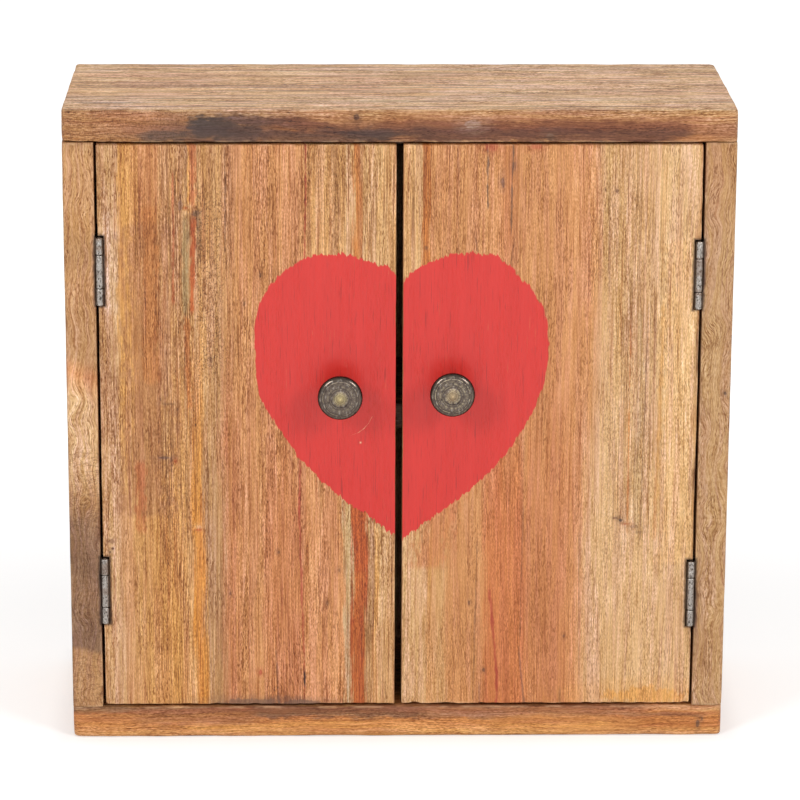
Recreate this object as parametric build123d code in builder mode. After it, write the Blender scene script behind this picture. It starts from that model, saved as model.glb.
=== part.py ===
from build123d import *

import os

# A two-door wooden medicine cabinet that stands on a shelf or hangs on a wall.
#
# The carcass is four solid boards: the top and bottom run over the sides and are dowelled to
# them.  A thin back panel sits in grooves, and one shelf is housed in the sides.  Two solid
# doors are inset between the boards.  Each turns on two small butt hinges, whose barrels stand
# in notches at the door's front corner, and each has a turned brass knob and a magnetic catch.
#
# Frame: millimetres, +Z up, the front faces -Y.  The origin is the centre of the underside.

# carcass
cabinet_width = 385.0
cabinet_height = 379.0
cabinet_depth = 140.0
side_thickness = 18.0
top_thickness = 19.0
bottom_thickness = 19.0
corner_round = 3.2  # worn upright corners of the top and bottom boards
top_edge_round = 2.2  # sanded rim of the top and bottom boards
inner_rim_round = 0.7  # rim of the same boards where they meet the sides
side_edge_round = 1.4  # outer uprights of the side boards
side_inner_round = 0.5  # the side board's front edge beside the door

# back panel and shelf
back_thickness = 5.0
back_recess = 12.0  # from the rear edges to the panel's rear face
back_groove_depth = 4.5
shelf_thickness = 15.5
shelf_centre_height = 192.3
shelf_housing_depth = 5.0
shelf_front_gap = 0.6  # behind the heads of the knob screws
shelf_edge_round = 0.8
groove_clearance = 0.1
groove_end_clearance = 0.3

# dowels
dowel_radius = 4.0
dowel_length = 30.0
dowel_in_board = 11.0  # the part of a dowel in the top or bottom board
dowel_setback = 26.0  # from the front and rear faces to the outer dowels
dowel_chamfer = 0.8
dowel_clearance = 0.04
dowel_end_clearance = 0.4

# doors
door_thickness = 16.0
door_recess = 0.4  # the door faces sit this far behind the carcass front
door_side_gap = 1.3
door_centre_gap = 3.9
door_top_gap = 1.1
door_bottom_gap = 1.3
door_edge_round = 0.8

# butt hinges
hinge_length = 40.0
hinge_low_heights = {"left": 91.7, "right": 89.2}  # above the underside
hinge_high_drops = {"left": 94.2, "right": 96.7}  # below the top face
knuckle_radius = 2.3
hinge_pin_radius = 1.1
middle_knuckle_share = 0.5
knuckle_end_gap = 0.15
pin_running_clearance = 0.05
pin_fixed_clearance = 0.01
pin_dome = 0.35
leaf_thickness = 1.2
leaf_width = 13.0  # from the pin's axis to the leaf's rear edge
leaf_corner_round = 1.0
leaf_set_out = 0.15  # the leaf's outer face past the barrel's side
barrel_proud = 0.8  # the pin's axis in front of the door faces
barrel_notch_clearance = 0.5
mortise_end_clearance = 0.7
leaf_hole_spacing = 24.0
leaf_hole_setback = 8.4  # from the pin's axis

# wood screws
screw_head_radius = 2.6
screw_shank_radius = 1.4
screw_slot_width = 0.8
screw_slot_depth = 0.6
screw_point_length = 3.0
screw_seat_clearance = 0.05
hinge_screw_length = 12.0
hanger_screw_length = 14.0
catch_screw_length = 12.0
strike_screw_length = 9.0

# knobs
knob_places = {"left": (-34.3, 24.6), "right": (30.3, 26.3)}  # across, and up from mid height
knob_radius = 13.0
knob_height = 22.0  # to the top of the boss
knob_foot_radius = 8.0
knob_foot_thickness = 1.8
knob_neck_radius = 4.6
knob_neck_height = 7.5  # of the neck's narrowest line
knob_flare_radius = 9.4  # where the neck's flare meets the underside of the head
knob_flare_height = 14.6
knob_rim_height = 17.8  # of the head's widest line
knob_face_radius = 10.4
knob_face_height = 20.7
knob_dish_depth = 0.35
knob_groove_radius = 4.3
knob_groove_width = 0.9
knob_boss_radius = 2.7
knob_screw_radius = 2.0
knob_screw_depth = 8.0  # the length inside the knob
knob_screw_head_radius = 3.8
knob_screw_head_height = 2.4
knob_screw_head_round = 1.1
knob_screw_clearance = 0.05
knob_screw_end_gap = 0.5
washer_radius = 5.5
washer_thickness = 0.9

# double magnetic catch under the top board
catch_spacing = 38.0  # between the two magnets
catch_pod_width = 20.0
catch_pod_height = 15.0
catch_depth = 24.0
catch_flange_thickness = 4.5
catch_pod_round = 1.5
catch_screw_spacing = 12.0
magnet_width = 14.0
magnet_thickness = 6.0
magnet_depth = 12.0
pole_thickness = 1.2
pole_proud = 0.8
magnet_pocket_clearance = 0.1
strike_width = 30.0
strike_height = 10.0
strike_thickness = 1.2
strike_hole_spacing = 22.0
strike_air_gap = 0.3
strike_corner_round = 1.2

# keyhole hangers let into the rear edges of the sides
hanger_drop = 64.0  # from the top face to the hangers' centres
hanger_length = 44.0
hanger_width = 13.0
hanger_thickness = 1.5
hanger_below_face = 0.3
hanger_hole_spacing = 35.0
hanger_entry_radius = 4.4
hanger_slot_radius = 2.3
hanger_slot_rise = 9.0
hanger_entry_drop = 4.0
hanger_pocket_depth = 8.0
hanger_pocket_margin = 0.4
hanger_fit_clearance = 0.2

# places that follow from the sizes above
front_y = -cabinet_depth / 2
rear_y = cabinet_depth / 2
side_length = cabinet_height - top_thickness - bottom_thickness
inner_x = cabinet_width / 2 - side_thickness
side_mid_x = cabinet_width / 2 - side_thickness / 2
under_top_z = cabinet_height - top_thickness
mid_height = bottom_thickness + side_length / 2

back_rear_y = rear_y - back_recess
back_front_y = back_rear_y - back_thickness
back_mid_y = (back_rear_y + back_front_y) / 2

door_front_y = front_y + door_recess
door_back_y = door_front_y + door_thickness
door_mid_y = (door_front_y + door_back_y) / 2
door_width = inner_x - door_side_gap - door_centre_gap / 2
door_low_z = bottom_thickness + door_bottom_gap
door_high_z = under_top_z - door_top_gap
door_height = door_high_z - door_low_z

knob_screw_head_y = door_back_y + washer_thickness
shelf_front_y = knob_screw_head_y + knob_screw_head_height + shelf_front_gap
knob_centres = {side: (x, mid_height + rise) for side, (x, rise) in knob_places.items()}

leaf_face = knuckle_radius + leaf_set_out
hinge_x = inner_x - leaf_face
hinge_y = door_front_y - barrel_proud
knuckle_end_length = hinge_length * (1 - middle_knuckle_share) / 2
leaf_hole_y = hinge_y + leaf_hole_setback
hinge_heights = {
    side: (low, cabinet_height - hinge_high_drops[side])
    for side, low in hinge_low_heights.items()
}
hanger_height = cabinet_height - hanger_drop

strike_back_y = door_back_y + strike_thickness
catch_front_y = strike_back_y + strike_air_gap + pole_proud
catch_magnet_z = under_top_z - catch_pod_height / 2
strike_x = catch_spacing / 2

SIDES = {"left": -1, "right": 1}
Z_DOWN = (0, 0, -1)


def write(part, name):
    """Labels one finished piece and writes it as its own file."""
    part.label = name
    export_step(part, f"parts/{name}.step")


# fasteners
def wood_screw(length):
    """A slotted countersunk screw along -Z, with the face of its head at z = 0."""
    cone_height = screw_head_radius - screw_shank_radius
    with BuildPart() as screw:
        with BuildSketch(Plane.XZ):
            with BuildLine():
                Polyline(
                    (0, 0),
                    (screw_head_radius, 0),
                    (screw_shank_radius, -cone_height),
                    (screw_shank_radius, screw_point_length - length),
                    (0, -length),
                    close=True,
                )
            make_face()
        revolve(axis=Axis.Z)
        with BuildSketch(Plane.XY):
            Rectangle(2 * screw_head_radius, screw_slot_width)
        extrude(amount=-screw_slot_depth, mode=Mode.SUBTRACT)
    return screw.part


def screw_group(places, length):
    """Equal screws as separate solids, each with its head facing the place's +Z."""
    with BuildPart() as group:
        with Locations(*places):
            add(wood_screw(length))
    return group


def bore_pilots(places, length, skin):
    """Cuts a screw's hole below a plate of thickness skin, in the part being built."""
    depth = length - skin + screw_seat_clearance
    for place in places:
        start = place * Location((0, 0, -skin - depth / 2))
        with Locations(start):
            Cylinder(screw_shank_radius + screw_seat_clearance / 2, depth, mode=Mode.SUBTRACT)


def cut_seats(places, plate_thickness):
    """Cuts countersunk screw holes through a plate, in the part being built."""
    with Locations(*places):
        CounterSinkHole(
            radius=screw_shank_radius + screw_seat_clearance,
            counter_sink_radius=screw_head_radius + screw_seat_clearance,
            depth=plate_thickness,
            counter_sink_angle=90,
        )


# places of the screws: the z axis of each points out of the screw's head
def facing(point, direction, x_dir=(0, 0, 1)):
    return Plane(origin=point, x_dir=x_dir, z_dir=direction).location


def frame_leaf_places(side, centre_z):
    """Screws of the leaf on the side board: the head faces the door."""
    s = SIDES[side]
    face_x = s * (inner_x - leaf_thickness)
    offsets = (-leaf_hole_spacing / 2, leaf_hole_spacing / 2)
    return [facing((face_x, leaf_hole_y, centre_z + dz), (-s, 0, 0)) for dz in offsets]


def door_leaf_places(side, centre_z):
    """Screws of the leaf on the door's edge: the head faces the side board."""
    s = SIDES[side]
    face_x = s * (hinge_x - leaf_face + leaf_thickness)
    offsets = (-leaf_hole_spacing / 2, leaf_hole_spacing / 2)
    return [facing((face_x, leaf_hole_y, centre_z + dz), (s, 0, 0)) for dz in offsets]


def hanger_places(side):
    face_y = rear_y - hanger_below_face
    x = SIDES[side] * side_mid_x
    offsets = (-hanger_hole_spacing / 2, hanger_hole_spacing / 2)
    return [facing((x, face_y, hanger_height + dz), (0, 1, 0)) for dz in offsets]


def strike_places(side):
    x = SIDES[side] * strike_x
    offsets = (-strike_hole_spacing / 2, strike_hole_spacing / 2)
    return [
        facing((x + dx, strike_back_y, catch_magnet_z), (0, 1, 0)) for dx in offsets
    ]


catch_screw_z = under_top_z - catch_flange_thickness
catch_screw_ys = [
    catch_front_y + catch_depth / 2 + dy
    for dy in (-catch_screw_spacing / 2, catch_screw_spacing / 2)
]
catch_places = [
    facing((0, y, catch_screw_z), Z_DOWN, x_dir=(1, 0, 0)) for y in catch_screw_ys
]

# dowels: three at each end of each side board
dowel_ys = (front_y + dowel_setback, 0.0, rear_y - dowel_setback)
dowel_top_z = under_top_z + dowel_in_board - dowel_length / 2
dowel_bottom_z = bottom_thickness - dowel_in_board + dowel_length / 2
dowel_xs = (-side_mid_x, side_mid_x)
top_dowel_places = [(x, y, dowel_top_z) for x in dowel_xs for y in dowel_ys]
bottom_dowel_places = [(x, y, dowel_bottom_z) for x in dowel_xs for y in dowel_ys]


def bore_dowels(places):
    """Cuts the dowel holes that fall in the part being built."""
    with Locations(*places):
        Cylinder(
            dowel_radius + dowel_clearance,
            dowel_length + 2 * dowel_end_clearance,
            mode=Mode.SUBTRACT,
        )


def cut_back_groove():
    """Cuts the groove that holds the back panel, in the part being built."""
    with Locations((0, back_mid_y, mid_height)):
        Box(
            2 * (inner_x + back_groove_depth + groove_end_clearance),
            back_thickness + 2 * groove_clearance,
            side_length + 2 * (back_groove_depth + groove_end_clearance),
            mode=Mode.SUBTRACT,
        )


# carcass boards
def end_board(low_z, thickness, dowel_places, outer_end):
    """The top or bottom board. outer_end is 1 where its free face is up and -1 where down."""
    with BuildPart() as board:
        with BuildSketch(Plane.XY.offset(low_z)):
            Rectangle(cabinet_width, cabinet_depth)
        extrude(amount=thickness)
        fillet(board.edges().filter_by(Axis.Z), radius=corner_round)
        rims = board.faces().filter_by(Axis.Z).sort_by(Axis.Z)
        outer_rim, inner_rim = (rims[-1], rims[0]) if outer_end > 0 else (rims[0], rims[-1])
        fillet(outer_rim.outer_wire().edges(), radius=top_edge_round)
        fillet(inner_rim.outer_wire().edges(), radius=inner_rim_round)
        cut_back_groove()
        bore_dowels(dowel_places)
    return board


os.makedirs("parts", exist_ok=True)

with BuildPart() as top_board:
    add(end_board(under_top_z, top_thickness, top_dowel_places, 1).part)
    bore_pilots(catch_places, catch_screw_length, catch_flange_thickness)
write(top_board.part, "top_board")

bottom_board = end_board(0, bottom_thickness, bottom_dowel_places, -1)
write(bottom_board.part, "bottom_board")


def cut_hanger_pocket(side):
    """Lets a keyhole hanger into the rear edge of the side board being built."""
    x = SIDES[side] * side_mid_x
    recess = hanger_thickness + hanger_below_face
    with BuildSketch(Plane.XZ.offset(-rear_y)) as seat:
        with Locations((x, hanger_height)):
            SlotOverall(
                hanger_length + hanger_fit_clearance,
                hanger_width + hanger_fit_clearance,
                rotation=90,
            )
    extrude(seat.sketch, amount=recess, mode=Mode.SUBTRACT)
    pocket_radius = hanger_entry_radius + hanger_pocket_margin
    pocket_length = hanger_entry_drop + hanger_slot_rise + 2 * pocket_radius
    pocket_mid = hanger_height + (hanger_slot_rise - hanger_entry_drop) / 2
    with BuildSketch(Plane.XZ.offset(-(rear_y - recess))) as pocket:
        with Locations((x, pocket_mid)):
            SlotOverall(pocket_length, 2 * pocket_radius, rotation=90)
    extrude(pocket.sketch, amount=hanger_pocket_depth, mode=Mode.SUBTRACT)


for side, s in SIDES.items():
    with BuildPart() as side_board:
        with BuildSketch(Plane.XY.offset(bottom_thickness)):
            with Locations((s * side_mid_x, 0)):
                Rectangle(side_thickness, cabinet_depth)
        extrude(amount=side_length)
        uprights = side_board.edges().filter_by(Axis.Z).sort_by(Axis.X)
        outer, inner = (uprights[2:], uprights[:2]) if s > 0 else (uprights[:2], uprights[2:])
        fillet(outer, radius=side_edge_round)
        fillet(inner.sort_by(Axis.Y)[0], radius=side_inner_round)
        cut_back_groove()
        shelf_depth = back_front_y - shelf_front_y
        with Locations((0, shelf_front_y + shelf_depth / 2, shelf_centre_height)):
            Box(
                2 * (inner_x + shelf_housing_depth + groove_end_clearance),
                shelf_depth + 2 * groove_clearance,
                shelf_thickness + 2 * groove_clearance,
                mode=Mode.SUBTRACT,
            )
        bore_dowels(top_dowel_places + bottom_dowel_places)
        for centre_z in hinge_heights[side]:
            bore_pilots(frame_leaf_places(side, centre_z), hinge_screw_length, leaf_thickness)
        cut_hanger_pocket(side)
        bore_pilots(hanger_places(side), hanger_screw_length, hanger_thickness)
    write(side_board.part, f"side_board_{side}")

with BuildPart() as back_panel:
    with BuildSketch(Plane.XZ.offset(-back_rear_y)):
        with Locations((0, mid_height)):
            Rectangle(2 * (inner_x + back_groove_depth), side_length + 2 * back_groove_depth)
    extrude(amount=back_thickness)
write(back_panel.part, "back_panel")

with BuildPart() as shelf:
    with BuildSketch(Plane.XY.offset(shelf_centre_height - shelf_thickness / 2)):
        with Locations((0, (shelf_front_y + back_front_y) / 2)):
            Rectangle(
                2 * (inner_x + shelf_housing_depth),
                back_front_y - shelf_front_y,
            )
    extrude(amount=shelf_thickness)
    front_rims = shelf.edges().filter_by(Axis.X).group_by(Axis.Y)[0]
    fillet(front_rims, radius=shelf_edge_round)
write(shelf.part, "shelf")

with BuildPart() as dowel:
    Cylinder(dowel_radius, dowel_length)
    chamfer(dowel.edges().filter_by(GeomType.CIRCLE), length=dowel_chamfer)

with BuildPart() as dowels:
    with Locations(*top_dowel_places, *bottom_dowel_places):
        add(dowel.part)
write(dowels.part, "dowels")


# doors
def cut_hinge_mortise(side, centre_z):
    """Cuts the leaf's seat and the barrel's notch in the edge of the door being built."""
    s = SIDES[side]
    seat_x = hinge_x - leaf_face
    notch_height = hinge_length + 2 * mortise_end_clearance
    seat_depth_y = leaf_width + mortise_end_clearance - barrel_proud
    with Locations((s * (seat_x + inner_x) / 2, door_front_y + seat_depth_y / 2, centre_z)):
        Box(inner_x - seat_x, seat_depth_y, notch_height, mode=Mode.SUBTRACT)
    with Locations((s * hinge_x, hinge_y, centre_z)):
        Cylinder(knuckle_radius + barrel_notch_clearance, notch_height, mode=Mode.SUBTRACT)


for side, s in SIDES.items():
    knob_x, knob_z = knob_centres[side]
    door_mid_x = s * (door_centre_gap + door_width) / 2
    with BuildPart() as door:
        with BuildSketch(Plane.XY.offset(door_low_z)):
            with Locations((door_mid_x, door_mid_y)):
                Rectangle(door_width, door_thickness)
        extrude(amount=door_height)
        fillet(door.edges(), radius=door_edge_round)
        for centre_z in hinge_heights[side]:
            cut_hinge_mortise(side, centre_z)
            bore_pilots(door_leaf_places(side, centre_z), hinge_screw_length, leaf_thickness)
        with Locations(facing((knob_x, door_front_y, knob_z), (0, -1, 0))):
            Hole(radius=knob_screw_radius + knob_screw_clearance, depth=door_thickness)
        bore_pilots(strike_places(side), strike_screw_length, strike_thickness)
    write(door.part, f"door_{side}")


# hinges
def knuckle_spans(centre_z):
    """Low and high ends of the outer and the middle knuckles."""
    low, high = centre_z - hinge_length / 2, centre_z + hinge_length / 2
    low_joint, high_joint = low + knuckle_end_length, high - knuckle_end_length
    outer = [(low, low_joint), (high_joint, high)]
    middle = [(low_joint + knuckle_end_gap, high_joint - knuckle_end_gap)]
    return outer, middle


def hinge_leaf(axis_x, toward, centre_z, spans, free_spans, bore_radius, places):
    """One leaf. toward is 1 or -1, the way from the pin to the leaf's outer face.

    The leaf has barrel turns at spans, and is cut away round the other leaf's at free_spans."""
    with BuildPart() as leaf:
        with BuildSketch(Plane.YZ.offset(axis_x + toward * (leaf_face - leaf_thickness))):
            with Locations((hinge_y + leaf_width / 2, centre_z)):
                Rectangle(leaf_width, hinge_length)
        extrude(amount=toward * leaf_thickness)
        rear_corners = leaf.edges().filter_by(Axis.X).group_by(Axis.Y)[-1]
        fillet(rear_corners, radius=leaf_corner_round)
        for low, high in spans:
            with BuildSketch(Plane.XY.offset(low)):
                with Locations((axis_x, hinge_y)):
                    Circle(knuckle_radius)
            extrude(amount=high - low)
        for low, high in free_spans:
            with Locations((axis_x, hinge_y, (low + high) / 2)):
                Cylinder(
                    leaf_face + knuckle_end_gap,
                    high - low + 2 * knuckle_end_gap,
                    mode=Mode.SUBTRACT,
                )
        with Locations((axis_x, hinge_y, centre_z)):
            Cylinder(bore_radius, hinge_length, mode=Mode.SUBTRACT)
        cut_seats(places, leaf_thickness)
    return leaf


for side, s in SIDES.items():
    frame_screws, door_screws = [], []
    for height, centre_z in zip(("low", "high"), hinge_heights[side]):
        outer_spans, middle_spans = knuckle_spans(centre_z)
        frame_leaf = hinge_leaf(
            s * hinge_x,
            s,
            centre_z,
            outer_spans,
            middle_spans,
            hinge_pin_radius + pin_fixed_clearance,
            frame_leaf_places(side, centre_z),
        )
        write(frame_leaf.part, f"hinge_frame_leaf_{side}_{height}")
        door_leaf = hinge_leaf(
            s * hinge_x,
            -s,
            centre_z,
            middle_spans,
            outer_spans,
            hinge_pin_radius + pin_running_clearance,
            door_leaf_places(side, centre_z),
        )
        write(door_leaf.part, f"hinge_door_leaf_{side}_{height}")
        with BuildPart() as pin:
            with Locations((s * hinge_x, hinge_y, centre_z)):
                Cylinder(hinge_pin_radius, hinge_length + 2 * pin_dome)
            fillet(pin.edges().filter_by(GeomType.CIRCLE), radius=pin_dome)
        write(pin.part, f"hinge_pin_{side}_{height}")
        frame_screws += frame_leaf_places(side, centre_z)
        door_screws += door_leaf_places(side, centre_z)
    write(screw_group(frame_screws, hinge_screw_length).part, f"hinge_frame_screws_{side}")
    write(screw_group(door_screws, hinge_screw_length).part, f"hinge_door_screws_{side}")


# knobs
def knob_outline():
    """Half section of the turned knob: the radius across and the height up."""
    dish_height = knob_face_height - knob_dish_depth
    foot_top = (knob_foot_radius * 0.9, knob_foot_thickness)
    neck = (knob_neck_radius, knob_neck_height)
    flare = (knob_flare_radius, knob_flare_height)
    rim = (knob_radius, knob_rim_height)
    face = (knob_face_radius, knob_face_height)
    groove_outer = (knob_groove_radius + knob_groove_width / 2, dish_height)
    groove_floor = (knob_groove_radius, dish_height - knob_groove_width / 2)
    groove_inner = (knob_groove_radius - knob_groove_width / 2, dish_height)
    boss_foot = (knob_boss_radius, dish_height)
    boss_top = (0, knob_height)
    with BuildLine() as outline:
        Line((0, 0), (knob_foot_radius, 0))
        Spline((knob_foot_radius, 0), foot_top, tangents=[(0.3, 1), (-1, 0)])
        Spline(foot_top, neck, flare, tangents=[(-1, 0), (1, 0.45)])
        Spline(flare, rim, tangents=[(1, 0.1), (0, 1)])
        Spline(rim, face, tangents=[(0, 1), (-1, 0)])
        Spline(face, groove_outer, tangents=[(-1, -0.1), (-1, 0)])
        ThreePointArc(groove_outer, groove_floor, groove_inner)
        Line(groove_inner, boss_foot)
        Spline(boss_foot, boss_top, tangents=[(-0.4, 1), (-1, 0)])
        Line(boss_top, (0, 0))
    return outline.line


for side in SIDES:
    knob_x, knob_z = knob_centres[side]
    foot = (knob_x, door_front_y, knob_z)
    with BuildPart() as knob:
        with BuildSketch(Plane(origin=foot, x_dir=(1, 0, 0), z_dir=Z_DOWN)):
            with BuildLine():
                add(knob_outline())
            make_face()
        revolve(axis=Axis(foot, (0, 1, 0)))
        with Locations(facing(foot, (0, 1, 0))):
            Hole(
                radius=knob_screw_radius + knob_screw_clearance,
                depth=knob_screw_depth + knob_screw_end_gap,
            )
    write(knob.part, f"knob_{side}")

    with BuildPart() as washer:
        with BuildSketch(Plane.XZ.offset(-door_back_y)):
            with Locations((knob_x, knob_z)):
                Circle(washer_radius)
                Circle(knob_screw_radius + knob_screw_clearance, mode=Mode.SUBTRACT)
        extrude(amount=-washer_thickness)
    write(washer.part, f"knob_washer_{side}")

    shank_length = door_thickness + washer_thickness + knob_screw_depth
    with BuildPart() as knob_screw:
        with BuildSketch(Plane.XZ.offset(-knob_screw_head_y)):
            with Locations((knob_x, knob_z)):
                Circle(knob_screw_radius)
        extrude(amount=shank_length)
        with BuildSketch(Plane.XZ.offset(-knob_screw_head_y)):
            with Locations((knob_x, knob_z)):
                Circle(knob_screw_head_radius)
        extrude(amount=-knob_screw_head_height)
        fillet(knob_screw.edges().group_by(Axis.Y)[-1], radius=knob_screw_head_round)
        with BuildSketch(Plane.XZ.offset(-(knob_screw_head_y + knob_screw_head_height))):
            with Locations((knob_x, knob_z)):
                Rectangle(2 * knob_screw_head_radius, screw_slot_width)
        extrude(amount=knob_screw_head_height / 2, mode=Mode.SUBTRACT)
    write(knob_screw.part, f"knob_screw_{side}")

# magnetic catch
pocket_width = magnet_width + 2 * magnet_pocket_clearance
pocket_height = magnet_thickness + 2 * pole_thickness + 2 * magnet_pocket_clearance
catch_mid_y = catch_front_y + catch_depth / 2
catch_span = catch_spacing + catch_pod_width
magnet_xs = (-catch_spacing / 2, catch_spacing / 2)

with BuildPart() as catch_housing:
    with BuildSketch(Plane.XY.offset(under_top_z - catch_flange_thickness)):
        with Locations((0, catch_mid_y)):
            Rectangle(catch_span, catch_depth)
    extrude(amount=catch_flange_thickness)
    with BuildSketch(Plane.XY.offset(under_top_z - catch_pod_height)):
        with Locations(*[(x, catch_mid_y) for x in magnet_xs]):
            Rectangle(catch_pod_width, catch_depth)
    extrude(amount=catch_pod_height)
    pod_undersides = catch_housing.faces().filter_by(Axis.Z).group_by(Axis.Z)[0]
    fillet(pod_undersides.edges(), radius=catch_pod_round)
    with Locations(*[(x, catch_front_y + magnet_depth / 2, catch_magnet_z) for x in magnet_xs]):
        Box(pocket_width, magnet_depth, pocket_height, mode=Mode.SUBTRACT)
    cut_seats(catch_places, catch_flange_thickness)
write(catch_housing.part, "catch_housing")

magnet_length = magnet_depth - magnet_pocket_clearance
with BuildPart() as magnets:
    with Locations(
        *[(x, catch_front_y + magnet_depth - magnet_length / 2, catch_magnet_z) for x in magnet_xs]
    ):
        Box(magnet_width, magnet_length, magnet_thickness)
write(magnets.part, "catch_magnets")

pole_length = magnet_depth + pole_proud
pole_offset_z = (magnet_thickness + pole_thickness) / 2
with BuildPart() as poles:
    pole_mid_y = catch_front_y - pole_proud + pole_length / 2
    with Locations(
        *[
            (x, pole_mid_y, catch_magnet_z + dz)
            for x in magnet_xs
            for dz in (-pole_offset_z, pole_offset_z)
        ]
    ):
        Box(magnet_width, pole_length, pole_thickness)
write(poles.part, "catch_pole_plates")

write(screw_group(catch_places, catch_screw_length).part, "catch_screws")

for side, s in SIDES.items():
    with BuildPart() as strike:
        with BuildSketch(Plane.XZ.offset(-door_back_y)):
            with Locations((s * strike_x, catch_magnet_z)):
                RectangleRounded(strike_width, strike_height, strike_corner_round)
        extrude(amount=-strike_thickness)
        cut_seats(strike_places(side), strike_thickness)
    write(strike.part, f"strike_plate_{side}")
    write(screw_group(strike_places(side), strike_screw_length).part, f"strike_screws_{side}")

# keyhole hangers
hanger_face_y = rear_y - hanger_below_face
hanger_screw_places = []
for side, s in SIDES.items():
    x = s * side_mid_x
    with BuildPart() as hanger:
        with BuildSketch(Plane.XZ.offset(-hanger_face_y)):
            with Locations((x, hanger_height)):
                SlotOverall(hanger_length, hanger_width, rotation=90)
            with Locations((x, hanger_height - hanger_entry_drop)):
                Circle(hanger_entry_radius, mode=Mode.SUBTRACT)
            slot_length = hanger_slot_rise + hanger_entry_drop + 2 * hanger_slot_radius
            slot_mid = hanger_height + (hanger_slot_rise - hanger_entry_drop) / 2
            with Locations((x, slot_mid)):
                SlotOverall(
                    slot_length, 2 * hanger_slot_radius, rotation=90, mode=Mode.SUBTRACT
                )
        extrude(amount=hanger_thickness)
        cut_seats(hanger_places(side), hanger_thickness)
    write(hanger.part, f"hanger_plate_{side}")
    hanger_screw_places += hanger_places(side)
write(screw_group(hanger_screw_places, hanger_screw_length).part, "hanger_screws")
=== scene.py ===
from math import cos, exp, radians, sin

import bmesh
import bpy
from mathutils import Matrix, Vector, noise


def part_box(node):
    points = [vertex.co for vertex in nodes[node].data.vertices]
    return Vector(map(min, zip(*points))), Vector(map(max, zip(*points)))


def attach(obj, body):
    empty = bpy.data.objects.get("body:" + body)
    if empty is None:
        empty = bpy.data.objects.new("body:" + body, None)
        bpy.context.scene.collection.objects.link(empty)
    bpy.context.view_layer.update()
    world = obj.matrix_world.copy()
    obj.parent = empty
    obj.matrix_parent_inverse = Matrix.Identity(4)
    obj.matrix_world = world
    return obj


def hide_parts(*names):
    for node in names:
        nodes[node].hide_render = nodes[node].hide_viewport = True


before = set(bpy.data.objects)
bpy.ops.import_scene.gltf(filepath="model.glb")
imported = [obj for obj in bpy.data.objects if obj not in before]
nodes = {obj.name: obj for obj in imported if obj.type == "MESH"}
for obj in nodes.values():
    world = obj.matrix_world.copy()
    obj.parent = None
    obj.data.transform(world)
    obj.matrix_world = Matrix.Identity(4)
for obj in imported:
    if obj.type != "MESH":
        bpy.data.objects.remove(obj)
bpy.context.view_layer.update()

# The looks of a small two-door medicine cabinet: worn boards of reclaimed hardwood, a red heart
# brushed across both doors, turned brass knobs and dull iron butt hinges.
#
# Sizes and places are in millimetres, from the centre of the underside, and become metres where
# they reach Blender.

MM = 0.001
TOUCH = 0.01  # two places closer than this are the same
DOOR_FRONT = -69.6


# bench work: how every new piece is started, cut and finished
def clear_selection():
    bpy.ops.object.select_all(action="DESELECT")


def take_up(piece):
    """Makes one piece the only selected and active one."""
    clear_selection()
    piece.select_set(True)
    bpy.context.view_layer.objects.active = piece


def settle(name):
    """Names the piece just added, and puts its place, turn and size into its mesh."""
    piece = bpy.context.object
    piece.name = piece.data.name = name
    bpy.ops.object.transform_apply(location=True, rotation=True, scale=True)
    return piece


def saw_block(name, low, high):
    """A square block between two corners."""
    clear_selection()
    size = [(b - a) * MM for a, b in zip(low, high)]
    middle = [(a + b) / 2 * MM for a, b in zip(low, high)]
    bpy.ops.mesh.primitive_cube_add(size=1, location=middle, scale=size)
    return settle(name)


def mark_edges(piece, wanted):
    """Selects the edges whose two ends pass the test. The piece is in edit mode."""
    bpy.ops.mesh.select_mode(type="EDGE")
    bpy.ops.mesh.select_all(action="DESELECT")
    mesh = bmesh.from_edit_mesh(piece.data)
    for edge in mesh.edges:
        a, b = (corner.co / MM for corner in edge.verts)
        if wanted(a, b):
            edge.select_set(True)
    bmesh.update_edit_mesh(piece.data)


def round_over(piece, wanted, radius, steps):
    """Rounds the edges that pass the test."""
    take_up(piece)
    bpy.ops.object.mode_set(mode="EDIT")
    mark_edges(piece, wanted)
    bpy.ops.mesh.bevel(offset=radius * MM, segments=steps, affect="EDGES", clamp_overlap=False)
    bpy.ops.object.mode_set(mode="OBJECT")


def spaced(start, end, spacing, fine=()):
    """Evenly spaced places between two ends, with closer ones just inside each end."""
    count = max(2, round((end - start) / spacing))
    places = [start + (end - start) * i / count for i in range(1, count)]
    return sorted(set(places + [start + f for f in fine] + [end - f for f in fine]))


def score(piece, axis, places):
    """Cuts a piece's faces along planes across an axis, so that it can take wear."""
    take_up(piece)
    bpy.ops.object.mode_set(mode="EDIT")
    normal = [float(axis == i) for i in range(3)]
    for place in places:
        bpy.ops.mesh.select_all(action="SELECT")
        bpy.ops.mesh.bisect(plane_co=[n * place * MM for n in normal], plane_no=normal)
    bpy.ops.object.mode_set(mode="OBJECT")


def rough(place, sizes, seed):
    """Smooth noise from 0 to 1, with lumps of the given sizes."""
    p = Vector([place[i] / sizes[i] + seed * 7.31 for i in range(3)])
    return 0.5 + 0.5 * noise.noise(p)


def fray_ends(piece, low, high, bite, seed):
    """Frays the front edges of a board's two ends, always inwards."""
    for corner in piece.data.vertices:
        p = corner.co / MM
        gap = min(p.z - low[2], high[2] - p.z)
        near = exp(-(gap + max(0.0, p.y - low[1])) / 1.4)
        if near > 0.02:
            bitten = max(0.0, rough(p, (2.6, 40, 40), seed) - 0.45) / 0.55
            patch = rough(p, (24, 40, 40), seed + 2)
            inward = 1 if p.z - low[2] < high[2] - p.z else -1
            corner.co.z += inward * bite * near * bitten * patch * MM


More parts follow.
